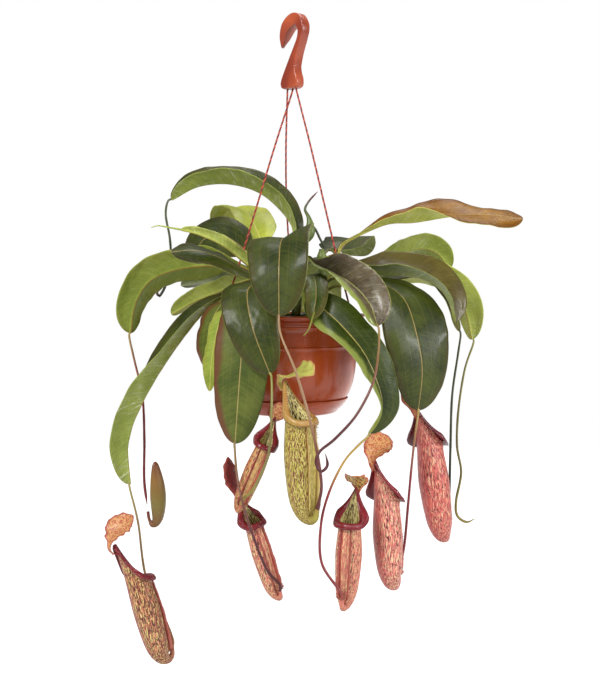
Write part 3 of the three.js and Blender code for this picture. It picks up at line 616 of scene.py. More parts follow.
# ------------------------------------------------------------------ leaf, stem and pitcher skins
@dataclass(frozen=True)
class BladeFace:
    """One face of a leaf: its two greens, its edge, its midrib and how it is flushed.

    flush_side is the side of the midrib that the flush keeps to, or 0 for both, and flush_from
    is how near the edge it keeps, from 0 for the whole half to 1 for the very edge.
    """

    name: str
    main: Colour
    second: Colour
    edge: Colour
    rib: Colour
    flush: Colour
    flush_share: float = 0.0
    flush_side: int = 0
    roughness: float = 0.36
    coat: float = 0.14
    sheen: float = 0.0
    flush_from: float = 0.62

    RIB_WIDTH = 0.95 * MM
    VEIN_GAP = 0.0036
    LONG_VEINS = (0.34, 0.6)
    # The colour of the painted sheen.
    SHEEN_PAINT = paint(214, 216, 192)

    def material(self) -> bpy.types.Material:
        """Makes the material, its veins running from the midrib out and towards the tip."""
        shader = Shader(self.name, Coat_Weight=self.coat, Coat_Roughness=0.18, IOR=1.4,
                        Specular_IOR_Level=0.3)
        u, v, rim = shader.attribute("span")
        along, across, seed = shader.attribute("metric")
        off = abs(across)
        flat = shader.vector(along, across, seed)
        broad = shader.noise(flat, 24, 3, 0.55)
        cloud = shader.noise(flat, 85, 4, 0.6)
        grain = shader.noise(flat, 900, 3, 0.6)
        slant = along - off * 0.62 + cloud * 0.002
        pinnate = slant.wave(self.VEIN_GAP)
        fine = shader.noise(shader.vector(slant * 4.0, off * 0.3, seed), 210, 3, 0.6)
        near, far = ((abs(v) - share + (cloud - 0.5) * 0.02).peak(46) for share in self.LONG_VEINS)
        ribs = near.most(far)
        colour = shader.mix((broad * 0.75 + fine * 0.5).step(0.42, 0.82), self.main, self.second)
        colour = shader.shade(colour, 0.62 + cloud * 0.46 + fine * 0.3)
        colour = shader.mix(ribs * 0.1, colour, self.rib)
        side = v.step(-0.1 * self.flush_side, 0.75 * self.flush_side) if self.flush_side else 1.0
        reach = broad * 0.8 + (1 - rim.step(0.0, 0.014)) * 0.5 + u * 0.12
        flushed = reach.step(self.flush_from, self.flush_from + 0.36) * side * self.flush_share
        colour = shader.mix(flushed, colour, self.flush)
        # Painted sheen: whitish streaks, as strong as the sheen field sets, are mixed into the colour to
        # stand for glossy highlights.
        streaks = shader.noise(shader.vector(slant * 2.2, off * 0.5, seed + 3.0), 120, 3, 0.65)
        pale_streaks = streaks.step(0.5, 0.74) * broad.step(0.36, 0.62) * self.sheen
        colour = shader.mix(pale_streaks, colour, self.SHEEN_PAINT)
        edge = (rim + (cloud - 0.5) * 0.0004).step(0.0008, 0.0002)
        colour = shader.mix(edge * 0.6, colour, self.edge)
        taper = off - (cloud - 0.5) * 0.0004 + u * (self.RIB_WIDTH * 0.35)
        rib = taper.step(self.RIB_WIDTH * 1.1, self.RIB_WIDTH * 0.5)
        colour = shader.mix(rib * 0.85, colour, self.rib)
        roughness = self.roughness + broad * 0.12 + grain * 0.06 + pale_streaks * 0.1
        height = pinnate * 0.025 + fine * 0.4 + grain * 0.05 + ribs * 0.1 + cloud * 0.9
        normal = shader.bump(height, 0.0012, 0.8)
        return shader.finish(colour, roughness, normal)


@dataclass(frozen=True)
class Stalk:
    """A tendril or stem whose colour turns along its length."""

    name: str
    stops: tuple[tuple[float, Colour], ...]

    def material(self) -> bpy.types.Material:
        """Makes the material."""
        shader = Shader(self.name, Coat_Weight=0.2, Coat_Roughness=0.3, IOR=1.45)
        u, _, _ = shader.attribute("span")
        flat = shader.flat(0.3, 1.6)
        streak = shader.noise(flat, 900, 3, 0.6)
        broad = shader.noise(flat, 60, 2)
        colour = shader.ramp(u + (broad - 0.5) * 0.12, list(self.stops))
        colour = shader.shade(colour, 0.78 + streak * 0.42)
        normal = shader.bump(streak, 0.00025, 0.6)
        return shader.finish(colour, 0.4 + broad * 0.1, normal)


@dataclass(frozen=True)
class CupSkin:
    """The outside of a pitcher: its ground colour, its mottles and dashes, and its flushed sides.

    mottle is how much of the ground the salmon mottles cover and dash how much the dark dashes
    do. band is the bearing round the cup, as a share of a turn, of its darkest flushed side.
    """

    name: str
    ground: Colour
    ground_low: Colour
    flush: Colour
    stripe: Colour
    mottle_colour: Colour
    mottle: float
    dash_colour: Colour
    dash: float
    band: float = 0.5
    band_share: float = 0.6
    front_stripes: float = 0.7

    STRIPE_GAP = 0.0042
    KEEL_AT, WING_AT = 0.5, 0.883

    def material(self) -> bpy.types.Material:
        """Makes the material, its dashes lying along the pitcher."""
        shader = Shader(self.name, Coat_Weight=0.18, Coat_Roughness=0.3, IOR=1.42)
        u, turn, _ = shader.attribute("span")
        along, across, seed = shader.attribute("metric")
        flat = shader.vector(along, across, seed)
        broad = shader.noise(flat, 40, 3, 0.5)
        warp = shader.noise(flat, 240, 2) - 0.5
        long = shader.vector(along * 0.65 + warp * 0.005, across + warp * 0.005, seed)
        mottles = shader.noise(long, 540, 3, 0.62)
        strewn = shader.vector(along * 0.55 + warp * 0.004, across + warp * 0.004, seed + 5.0)
        dashes = shader.noise(strewn, 760, 2, 0.6)
        front = abs(turn - 0.5) * 2
        keel = (front - self.KEEL_AT).peak(40)
        wing = (front - self.WING_AT).peak(26)
        between = front.step(0.86, 0.9)
        lines = (across + warp * 0.0006).wave(self.STRIPE_GAP)
        side = ((turn - self.band + 0.5).fraction() - 0.5).peak(6.5)
        low = 1 - u
        colour = shader.mix(low.step(0.5, 1.0), self.ground, self.ground_low)
        mottled = mottles.step(0.56 - 0.18 * self.mottle, 0.62 - 0.1 * self.mottle)
        colour = shader.mix(mottled, colour, self.mottle_colour)
        stripes = lines.step(0.5, 0.9) * between * self.front_stripes
        colour = shader.mix(stripes, colour, self.stripe)
        dark = dashes.step(0.64 - 0.12 * self.dash, 0.66 - 0.12 * self.dash)
        dark = dark * (1 - low.step(0.72, 1.0) * 0.75) * (1 - between * 0.55)
        colour = shader.mix(dark * 0.92, colour, self.dash_colour)
        flushed = (side * 1.2 + broad * 0.5 - 0.25).step(0.25, 0.85) * self.band_share
        flushed = flushed.most(low.step(0.86, 1.0) * 0.6)
        colour = shader.mix(flushed, colour, self.flush)
        colour = shader.mix((wing * 0.85).most(keel * 0.55), colour, self.stripe)
        colour = shader.shade(colour, 0.86 + broad * 0.28)
        height = mottles * 0.5 + shader.noise(flat, 1400, 2) * 0.2 + dark * -0.25
        normal = shader.bump(height, 0.0004, 0.6)
        return shader.finish(colour, 0.42 + mottles * 0.08, normal)


@dataclass(frozen=True)
class SpottedSkin:
    """Pale waxy skin with dark round spots, as inside a pitcher and under its lid."""

    name: str
    ground: Colour
    spot: Colour
    scale: float
    share: float
    rim: Colour

    def material(self) -> bpy.types.Material:
        """Makes the material."""
        shader = Shader(self.name, Coat_Weight=0.15, Coat_Roughness=0.35, IOR=1.42)
        _, _, rim = shader.attribute("span")
        flat = shader.flat(0.7)
        broad = shader.noise(flat, 70, 3)
        cells = shader.cells(flat, self.scale)
        spots = (cells - shader.noise(flat, self.scale, 2) * 0.7).step(0.16, 0.04)
        colour = shader.mix(spots * self.share, self.ground, self.spot)
        edge = (rim + broad * 0.004).step(0.006, 0.002)
        colour = shader.mix(edge * 0.85, colour, self.rim)
        colour = shader.shade(colour, 0.84 + broad * 0.3)
        normal = shader.bump(shader.noise(flat, 700, 3), 0.0003, 0.5)
        return shader.finish(colour, 0.45, normal)


@dataclass(frozen=True)
class LipSkin:
    """The glossy ribbed lip of a pitcher, its ribs painted lighter on their ridges as a painted highlight
    and darker in the furrows between them as painted shade.
    """

    name: str
    lit_ridge: Colour
    shaded_furrow: Colour
    ribs: int = 150

    def material(self) -> bpy.types.Material:
        """Makes the material, its ribs running round the lip's section."""
        shader = Shader(self.name, Coat_Weight=0.3, Coat_Roughness=0.1, IOR=1.42)
        turn, _, _ = shader.attribute("span")
        broad = shader.noise(shader.flat(), 90, 3)
        wave = (turn + broad * 0.004).wave(1 / self.ribs)
        # Painted highlight and painted shade: the colour follows the rib wave, lighter on the ridges and
        # darker in the furrows.
        colour = shader.mix((wave * 0.55 + broad * 0.7).step(0.3, 0.95), self.shaded_furrow, self.lit_ridge)
        normal = shader.bump(wave, 0.0003, 0.8)
        return shader.finish(colour, 0.2 + broad * 0.12, normal)


MAROON = paint(76, 16, 22)


class Tone(Enum):
    """A leaf's two faces, top and underside."""

    DARK = (
        BladeFace("leaf_dark_top", *paints((32, 42, 6), (62, 70, 14), (112, 118, 52), (150, 128, 74),
                  (68, 48, 20)), 0.35),
        BladeFace("leaf_dark_under", *paints((122, 136, 56), (146, 156, 78), (142, 150, 74),
                  (156, 146, 70), (112, 96, 50)), 0.1, 0, 0.44, 0.08, 0.6),
    )
    GREEN = (
        BladeFace("leaf_green_top", *paints((52, 68, 16), (82, 96, 28), (128, 136, 62), (156, 136, 76),
                  (104, 54, 32)), 0.3),
        BladeFace("leaf_green_under", *paints((110, 124, 42), (132, 142, 56), (144, 152, 72),
                  (150, 112, 48), (122, 104, 42)), 0.2, 0, 0.48, 0.05, 0.12),
    )
    HALF_PALE = (
        BladeFace("leaf_half_pale_top", *paints((36, 48, 8), (62, 74, 16), (140, 142, 72),
                  (172, 158, 88), (122, 132, 58)), 0.9, -1, flush_from=0.4),
        BladeFace("leaf_half_pale_under", *paints((122, 136, 56), (146, 156, 78), (142, 150, 74),
                  (156, 146, 70), (112, 96, 50)), 0.1, 0, 0.44, 0.08, 0.3),
    )
    GREY = (
        BladeFace("leaf_grey_top", *paints((84, 94, 58), (126, 132, 98), (150, 156, 110),
                  (146, 146, 98), (76, 66, 42)), 0.3, 0, 0.26, 0.35, 0.4),
        BladeFace("leaf_grey_under", *paints((96, 106, 66), (140, 146, 110), (150, 156, 110),
                  (146, 146, 98), (76, 66, 42)), 0.3, 0, 0.3, 0.3, 0.4),
    )
    PALE = (
        BladeFace("leaf_pale_top", *paints((112, 130, 40), (148, 162, 66), (168, 176, 86),
                  (182, 168, 92), (150, 124, 58)), 0.2),
        BladeFace("leaf_pale_under", *paints((140, 154, 62), (168, 176, 88), (176, 182, 96),
                  (170, 156, 72), (150, 140, 66)), 0.1, 0, 0.46, 0.06, 0.25),
    )
    LIME = (
        BladeFace("leaf_lime_top", *paints((140, 150, 40), (172, 178, 64), (178, 182, 86),
                  (182, 172, 88), (150, 120, 50)), 0.1),
        BladeFace("leaf_lime_under", *paints((152, 160, 50), (180, 184, 76), (178, 182, 86),
                  (182, 172, 88), (150, 120, 50)), 0.1),
    )
    RED_EDGE = (
        BladeFace("leaf_red_top", *paints((60, 74, 20), (92, 100, 38), (110, 76, 46), (168, 148, 92),
                  (98, 56, 36)), 0.9, -1, flush_from=0.56),
        BladeFace("leaf_red_under", *paints((104, 120, 48), (126, 138, 62), (132, 102, 66),
                  (162, 130, 72), (126, 78, 50)), 0.5, 0, 0.48, 0.05),
    )
    OLIVE = (
        BladeFace("leaf_olive_top", *paints((66, 56, 20), (92, 82, 34), (112, 108, 50), (140, 118, 56),
                  (116, 126, 46)), 0.9, -1, flush_from=0.4),
        BladeFace("leaf_olive_under", *paints((110, 126, 44), (142, 154, 64), (128, 140, 64),
                  (132, 122, 58), (106, 92, 40)), 0.3, 0, 0.42, 0.1, 0.5),
    )
    BRONZE = (
        BladeFace("leaf_bronze_top", *paints((104, 64, 3), (142, 98, 8), (80, 50, 12), (160, 130, 46),
                  (84, 42, 6)), 0.6, 0, 0.34, 0.06),
        BladeFace("leaf_bronze_under", *paints((168, 176, 72), (196, 200, 102), (190, 190, 96),
                  (190, 170, 80), (172, 138, 52)), 0.2, 0, 0.42, 0.1, 0.4),
    )
    BROWN = (
        BladeFace("leaf_brown_top", *paints((66, 54, 38), (100, 88, 66), (156, 162, 74), (150, 152, 66),
                  (122, 134, 54)), 0.9, -1, 0.26, 0.3, 0.35, flush_from=0.4),
        BladeFace("leaf_brown_under", *paints((122, 138, 44), (150, 164, 64), (168, 176, 78),
                  (168, 164, 72), (136, 116, 48)), 0.1, 0, 0.44, 0.1, 0.35),
    )


class Finishes:
    """Every material of the plant, made once and handed out by name."""

    MAKERS: dict[str, Any] = {
        "pot": MouldedPlastic("terracotta_plastic", *paints((182, 76, 28), (156, 58, 20)), 0.22, 0.26),
        "hook": MouldedPlastic("hook_plastic", *paints((172, 78, 44), (124, 44, 26)), 0.22, 0.05),
        "yarn_light": TwistedYarn("cord_orange", *paints((216, 96, 52), (184, 60, 34))),
        "yarn_dark": TwistedYarn("cord_crimson", *paints((140, 26, 26), (90, 14, 16))),
        "soil": PottingMix("potting_mix", paints((20, 15, 12), (38, 28, 21), (66, 50, 36)),
            180, 0.92),
        "bark": PottingMix("bark_chips", paints((42, 28, 20), (76, 50, 34), (112, 80, 54)),
            120, 0.85),
        "moss": PottingMix("moss", paints((56, 66, 24), (92, 102, 40), (132, 132, 72)), 160, 0.8),
        "stem": Stalk("shoot_skin", stops((0.0, 80, 70, 40), (0.5, 94, 106, 48), (1.0, 106, 120, 54))),
        "spear": Stalk("spear_skin", stops((0.0, 84, 98, 44), (0.45, 92, 108, 48), (0.72, 70, 76, 38),
            (0.86, 82, 40, 36), (1.0, 96, 44, 40))),
        "young_stalk": Stalk("young_stalk", stops((0.0, 60, 70, 36), (1.0, 52, 62, 34))),
        "tan": Stalk("tendril_tan", stops((0.0, 150, 140, 76), (0.35, 150, 118, 70),
            (0.8, 164, 140, 80), (1.0, 150, 110, 66))),
        "olive": Stalk("tendril_olive", stops((0.0, 134, 134, 62), (0.5, 110, 100, 56),
            (0.8, 128, 122, 62), (1.0, 150, 130, 56))),
        "crimson": Stalk("tendril_crimson", stops((0.0, 160, 140, 80), (0.22, 140, 84, 58),
            (0.42, 128, 38, 46), (0.85, 122, 34, 42), (1.0, 120, 44, 44))),
        "maroon": Stalk("tendril_maroon", stops((0.0, 140, 116, 64), (0.3, 110, 62, 42),
            (0.6, 78, 22, 26), (1.0, 70, 16, 22))),
        "middle": Stalk("tendril_middle", stops((0.0, 140, 110, 76), (0.5, 146, 112, 80),
            (0.72, 104, 50, 44), (1.0, 84, 26, 30))),
        "bottle": Stalk("tendril_dark_green", stops((0.0, 70, 78, 44), (0.6, 52, 60, 36),
            (0.88, 44, 44, 30), (1.0, 150, 76, 56))),
        "straw": Stalk("tendril_straw", stops((0.0, 150, 134, 62), (0.26, 172, 134, 58),
            (0.4, 128, 38, 40), (0.9, 118, 34, 38), (1.0, 150, 70, 52))),
        "cup_speckled": CupSkin("cup_speckled", *paints((214, 188, 118), (200, 134, 98), (146, 52, 54),
            (120, 34, 42), (192, 116, 84)), 0.75, MAROON, 1.3, 0.42, 0.9),
        "cup_cream": CupSkin("cup_cream", *paints((206, 172, 108), (192, 124, 92), (150, 62, 52),
            (140, 58, 44), (196, 124, 84)), 0.45, MAROON, 0.85, 0.78, 0.5, 0.4),
        "cup_pink": CupSkin("cup_pink", *paints((230, 192, 150), (214, 136, 122), (172, 70, 72),
            (136, 46, 52), (208, 114, 104)), 0.9, MAROON, 0.9, 0.44, 0.6),
        "cup_rose": CupSkin("cup_rose", *paints((224, 172, 138), (184, 78, 82), (172, 70, 74),
            (130, 42, 52), (196, 92, 84)), 1.05, MAROON, 0.8, 0.4, 0.5),
        "cup_salmon": CupSkin("cup_salmon", *paints((224, 190, 136), (212, 146, 114), (188, 84, 76),
            (160, 56, 56), (206, 116, 100)), 0.75, MAROON, 0.9, 0.2, 0.3, 0.6),
        "cup_green": CupSkin("cup_green", *paints((202, 188, 106), (152, 156, 50), (140, 104, 50),
            (128, 62, 42), (166, 160, 58)), 0.6, paint(104, 40, 28), 1.2, 0.35, 0.35, 0.3),
        "inside": SpottedSkin("cup_inside", *paints((234, 220, 150), (60, 14, 20)), 560, 0.95,
            paint(110, 30, 40)),
        "lid_salmon": SpottedSkin("lid_salmon", *paints((204, 150, 98), (160, 50, 44)), 640, 0.8,
            paint(160, 56, 46)),
        "lid_yellow": SpottedSkin("lid_yellow", *paints((206, 168, 86), (96, 26, 28)), 480, 0.9,
            paint(190, 96, 74)),
        "lid_red": SpottedSkin("lid_red", *paints((112, 34, 32), (70, 16, 20)), 260, 0.6,
            paint(150, 62, 50)),
        "lid_green": SpottedSkin("lid_pale_green", *paints((184, 184, 92), (150, 140, 60)), 160, 0.35,
            paint(190, 140, 84)),
        "lip_red": LipSkin("lip_crimson", *paints((150, 34, 44), (84, 12, 22))),
        "lip_dark": LipSkin("lip_dark_crimson", *paints((122, 26, 36), (64, 8, 16))),
        "lip_green": LipSkin("lip_olive", *paints((186, 158, 76), (150, 84, 48)), 110),
        "wing": Stalk("wing_skin", stops((0.0, 176, 122, 88), (0.5, 180, 96, 80), (1.0, 140, 50, 50))),
        "wing_green": Stalk("wing_pale_green", stops((0.0, 190, 180, 80), (0.6, 196, 172, 100),
            (1.0, 170, 120, 74))),
        "bud": Stalk("bud_skin", stops((0.0, 110, 40, 34), (0.2, 112, 74, 32), (0.45, 112, 98, 36),
            (0.8, 128, 90, 38), (1.0, 104, 50, 30))),
    }

    def __init__(self) -> None:
        """Starts with none made."""
        self.made: dict[str, bpy.types.Material] = {}

    def __call__(self, name: str) -> bpy.types.Material:
        """The material of that name."""
        if name not in self.made:
            self.made[name] = self.MAKERS[name].material()
        return self.made[name]

    def faces(self, tone: Tone) -> list[bpy.types.Material]:
        """The top and underside of a leaf's tone."""
        for face in tone.value:
            if face.name not in self.made:
                self.made[face.name] = face.material()
        return [self.made[face.name] for face in tone.value]


# ------------------------------------------------------------------ where things hang, in millimetres
RIM = np.array([-10.0, 4.0, -342.0])
LUG_BEARINGS = {"cord_left": 206.0, "cord_right": 326.0, "cord_rear": 86.0}
LUG_RADIUS = 85.5
HOOK_TURN = -45.0
HOOK_FOOT = -74.0
SHOOT_RADIUS = 5.5
SHOOTS: dict[str, tuple[float, float, float]] = {
    "middle": (-2, -2, -256), "left": (-38, 18, -272),
    "right": (28, 14, -264), "front": (-24, -22, -286),
}


def lug(cord: str) -> np.ndarray:
    """Where a cord goes through the rim's top."""
    return RIM + bearing(LUG_BEARINGS[cord]) * LUG_RADIUS


@dataclass
class Cords:
    """Three twisted cords from the hook's foot to the pot's rim, each knotted under the rim."""

    finishes: Finishes
    radius: float = 1.15
    bore_depth: float = 8.0
    pitch: float = 8.5

    BORES = {"cord_left": -10.5, "cord_right": -2.5, "cord_rear": -18.5}
    SAGS = {"cord_rear": -6.0}
    STRANDS = 3
    STRAND_SIDES = 7
    KNOT_LOOPS = ((1.9, 0.0), (1.7, 1.1), (1.4, 2.0))

    def route(self, name: str) -> Route:
        """A cord's middle line, from its bore in the hook's foot to just under the rim."""
        top = bearing(HOOK_TURN) * self.BORES[name] + UP * HOOK_FOOT
        foot = lug(name)
        points = [top + UP * (self.bore_depth - 2), top, top - UP * 4]
        sag = EAST * self.SAGS.get(name, 0.0)
        points += [top + (foot - top) * t + sag * math.sin(math.pi * t) for t in (0.25, 0.5, 0.75)]
        return Route([*points, foot + UP * 4, foot - UP * 3.2])

    def _made(self, form: Form, name: str) -> bpy.types.Object:
        """A piece of cord, of a light and a dark yarn."""
        yarns = [self.finishes("yarn_light"), self.finishes("yarn_dark")]
        return form.build(name, yarns, "hanger_cord")

    def _twist(self, form: Form, route: Route, strand: int) -> None:
        """Adds one of the strands that wind round the cord's middle line."""
        turns = route.length / self.pitch
        u = np.linspace(0, 1, int(turns * 12))
        heading = route.heading(u)
        side = carried(heading, EAST)
        angle = u * turns * TURN + strand * TURN / self.STRANDS
        out = side * np.cos(angle)[:, None] + np.cross(heading, side) * np.sin(angle)[:, None]
        line = route.at(u) + out * self.radius * 0.52
        thick = self.radius * 0.56
        along = unit(np.gradient(line, axis=0))
        square = unit(out - along * dot(out, along))
        ring = angles(self.STRAND_SIDES)
        rows = line[:, None] + thick * rings(square, np.cross(along, square), ring)
        metric = fields(u[:, None] * route.length * MM * 1.1, ring * thick * MM, float(strand))
        form.grid(rows, 0 if strand == 1 else 1, True, None, metric, caps=True)

    def _knot(self, name: str, route: Route) -> bpy.types.Object:
        """A stopper knot of cord under the rim: three loops drawn tight on each other."""
        form = Form()
        end = route.points[-1] - UP * 1.9
        around = np.linspace(0, TURN, 13)
        for number, (radius, drop) in enumerate(self.KNOT_LOOPS):
            lean = np.sin(around + number * 2.1) * 0.35
            ring = np.stack([np.cos(around) * radius, np.sin(around) * radius, lean - drop], -1) + end
            form.tube(Route(ring), lambda u: 0 * u + 1.05, np.linspace(0, 1, 30), 8, number % 2, number)
        core = Route([end + UP, end - UP * 1.4, end - UP * 2.8])
        form.tube(core, lambda u: 0 * u + 1.1, np.linspace(0, 1, 5), 8, 1)
        return self._made(form, name)

    def build(self) -> None:
        for name in LUG_BEARINGS:
            route = self.route(name)
            form = Form()
            for strand in range(self.STRANDS):
                self._twist(form, route, strand)
            made = self._made(form, "twisted_" + name)
            knot = self._knot("knot_" + name, route)
            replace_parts(made, name)
            path = route.at(np.linspace(0, 1, 60)) * MM


@dataclass
class Pot:
    """The hanging pot, its saucer and the potting mix in it."""

    finishes: Finishes
    rim_radius: float = 90.0
    rim_thickness: float = 3.0
    band_radius: float = 81.5
    band_depth: float = 14.5
    line_depth: float = 37.0
    height: float = 115.5
    foot_radius: float = 53.0
    wall: float = 2.0
    sides: int = 144

    LINE_SECTION = ((0.15, 1.3), (0.6, 0.9), (0.85, 0.3), (0.85, -0.3), (0.6, -0.9), (0.1, -1.3))
    RING_DEPTHS = (13.9, 11.4, 8.9)
    RING_SECTION = ((0, 0), (0.28, 0.5), (0.28, 1.0), (0, 1.5))
    UNDER_RIM = ((0, -0.9), (0.3, -0.2), (1.0, 0))
    RIM_EDGE = ((-0.9, 0), (-0.25, 0.3), (0, 0.9))
    RIM_TOP = ((0, -0.9), (-0.25, -0.25), (-0.8, 0))
    DRAINS = 4
    SOIL_EDGE, SOIL_SPAN = 75.8, 76.0
    CHIPS = 420
    SPRIGS = 150

    def radius_at(self, depth: float) -> float:
        """The outer wall's radius at a depth below the rim."""
        t = max(0.0, min(1.0, (depth - self.band_depth) / (self.height - self.band_depth)))
        return self.foot_radius + (self.band_radius - 1.2 - self.foot_radius) * (1 - t**3.8) ** 0.8

    def _wall(self, depths: Sequence[float], out: float = 0.0) -> list[tuple[float, float]]:
        """Points at depths down the outer wall, or a distance out from it."""
        return [(self.radius_at(d) + out, -d) for d in depths]

    def _outside(self) -> list[tuple[float, float]]:
        """The outer profile from the foot up to the rim."""
        foot = [(0.001, -self.height + 0.01), (self.foot_radius - 6, -self.height),
                (self.foot_radius - 1.5, -self.height), (self.foot_radius + 0.6, -self.height + 0.5)]
        lower = self._wall(np.linspace(self.height - 1.6, self.line_depth + 1.6, 30))
        around = self.radius_at(self.line_depth)
        line = [(around + bulge, -self.line_depth - step) for bulge, step in self.LINE_SECTION]
        upper = self._wall(np.linspace(self.line_depth - 2, self.band_depth + 1.6, 6))
        band = [(self.band_radius - 0.6, -self.band_depth - 0.5)]
        for depth in self.RING_DEPTHS:
            band += [(self.band_radius + out, -depth + up) for out, up in self.RING_SECTION]
        rim = [(self.band_radius + out, -self.rim_thickness + up) for out, up in self.UNDER_RIM]
        rim += [(self.rim_radius + out, -self.rim_thickness + up) for out, up in self.RIM_EDGE]
        rim += [(self.rim_radius + out, up) for out, up in self.RIM_TOP]
        return [*foot, *lower, *line, *upper, *band, *rim]

    def _pot(self) -> bpy.types.Object:
        """The pot itself, with its rim pierced for the cords and its foot for drainage."""
        inner = self.band_radius - self.wall
        inside = [(inner + 0.6, 0), (inner + 0.1, -0.3), (inner - 0.1, -1.2)]
        inside += self._wall(np.linspace(self.band_depth, self.height - self.wall, 12), -self.wall)
        inside += [(0.001, -self.height + self.wall)]
        form = Form()
        form.lathe([*self._outside(), *inside], self.sides, RIM)
        made = form.build("hanging_pot", [self.finishes("pot")], "terracotta_plastic")
        drill = Form()
        for cord in LUG_BEARINGS:
            drill.lathe(rod(2.5, -8, 3), 20, lug(cord))
        for k in range(self.DRAINS):
            spot = bearing(90 * k + 45) * self.foot_radius * 0.6
            drill.lathe(rod(4, -3, 5), 20, RIM + spot - UP * self.height)
        cut(made, drill)
        return made

    def _saucer(self) -> bpy.types.Object:
        """The clip-on saucer under the pot."""
        floor = -self.height - 0.35
        wall = self._wall((100.6, 103, 106, 109, 112, 114), 0.6)
        outer = [(r + 1.7, z) for r, z in wall]
        lip = outer[0][0]
        under = [(r, floor - drop) for r, drop in ((0.001, 2), (50, 2), (52.6, 2), (54.4, 1.6), (56.4, 0.4))]
        over = [(lip + out, up) for out, up in ((0.1, -100.2), (-0.3, -99.8), (-1.2, -99.8))]
        profile = [*under, *outer[::-1], *over, *wall, (self.foot_radius + 0.2, floor), (0.001, floor)]
        form = Form()
        form.lathe(profile, self.sides, RIM)
        return form.build("pot_saucer", [self.finishes("pot")], "terracotta_plastic")

    def _soil(self) -> bpy.types.Object:
        """Lumpy potting mix with bark chips and tufts of moss on it."""
        form = Form()
        rng = np.random.default_rng(11)
        radii = np.concatenate([[0.01], np.linspace(4, self.SOIL_EDGE, 34)])
        r, a = np.meshgrid(radii, angles(120), indexing="ij")
        x, y = r * np.cos(a), r * np.sin(a)
        broad = ripple(x * 0.16, 1) * ripple(y * 0.16, 2)
        fine = ripple(x * 0.5 + y * 0.2, 3) * ripple(y * 0.5, 4)
        z = -12 + 3.2 * (1 - (r / self.SOIL_SPAN) ** 2) + 1.1 * (broad + 0.7 * fine)
        form.grid(np.stack([x, y, z], -1) + RIM, 0, True)
        wall = self._wall((20, 40, 61, 79, 90, 98, 106, 113.1), -self.wall - 0.8)
        form.lathe([(self.SOIL_EDGE, -12.6), *wall, (0.001, -113.15)], 72, RIM)
        for _ in range(self.CHIPS):
            spot = bearing(rng.uniform(0, 360)) * 74 * math.sqrt(rng.uniform(0.05, 1))
            size = rng.uniform(1.2, 4.2) * np.array([1, rng.uniform(0.4, 0.8), rng.uniform(0.25, 0.5)])
            rise = 2.4 * (1 - (np.linalg.norm(spot) / self.SOIL_SPAN) ** 2)
            self._chip(form, rng, RIM + spot + UP * (-10.6 + rise), size)
        for _ in range(self.SPRIGS):
            spot = bearing(rng.uniform(0, 360)) * 72 * math.sqrt(rng.uniform(0.1, 1))
            self._sprig(form, rng, RIM + spot + UP * -10.2)
        finishes = [self.finishes(name) for name in ("soil", "bark", "moss")]
        return form.build("potting_mix", finishes, "soil")

    @staticmethod
    def _chip(form: Form, rng: np.random.Generator, base: np.ndarray, size: np.ndarray) -> None:
        """Adds one chip of bark, turned and worn at random."""
        corners = np.array([[i, j, k] for i in (-1, 1) for j in (-1, 1) for k in (-1, 1)], float)
        corners *= rng.uniform(0.6, 1.0, (8, 3))
        axis = unit(rng.normal(size=3) * [0.4, 0.4, 1])
        angle = rng.uniform(0, 6.3)
        corners *= size
        turned = corners * math.cos(angle) + np.cross(axis, corners) * math.sin(angle)
        turned += axis * (corners @ axis)[:, None] * (1 - math.cos(angle))
        faces = [[0, 1, 3, 2], [4, 6, 7, 5], [0, 4, 5, 1], [2, 3, 7, 6], [0, 2, 6, 4], [1, 5, 7, 3]]
        form.solid(turned + base, faces, 1, rng.uniform(0, 1))

    @staticmethod
    def _sprig(form: Form, rng: np.random.Generator, base: np.ndarray) -> None:
        """Adds one curved sprig of moss."""
        lean = bearing(rng.uniform(0, 360)) * rng.uniform(1, 4)
        rise = rng.uniform(1.5, 4)
        line = Route([base, base + lean * 0.4 + UP * rise * 0.8, base + lean + UP * rise])
        form.tube(line, lambda u: 0.5 * (1.1 - u), np.linspace(0, 1, 4), 5, 2, rng.uniform(0, 1))

    def build(self) -> None:
        """Makes the pot, the saucer and the potting mix."""
        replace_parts(self._pot(), "pot")
        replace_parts(self._saucer(), "saucer")
        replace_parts(self._soil(), "soil")


def rod(radius: float, low: float, high: float) -> Steps:
    """The profile of an upright rod between two heights."""
    return [(0.001, low), (radius, low), (radius, high), (0.001, high)]


def cut(made: bpy.types.Object, drill: Form) -> None:
    """Cuts the drilled forms out of an object, and leaves no modifier on it."""
    tool = linked("drill", bpy.data.meshes.new("drill"))
    tool.data.from_pydata(np.concatenate(drill.points), [], drill.faces)
    modifier = made.modifiers.new("holes", "BOOLEAN")
    modifier.operation, modifier.object, modifier.solver = "DIFFERENCE", tool, "EXACT"
    modifier.use_self = True
    graph = bpy.context.evaluated_depsgraph_get()
    bored = bpy.data.meshes.new_from_object(made.evaluated_get(graph))
    made.modifiers.remove(modifier)
    if len(bored.polygons) > 50:
        made.data = bored
    bpy.data.objects.remove(tool)


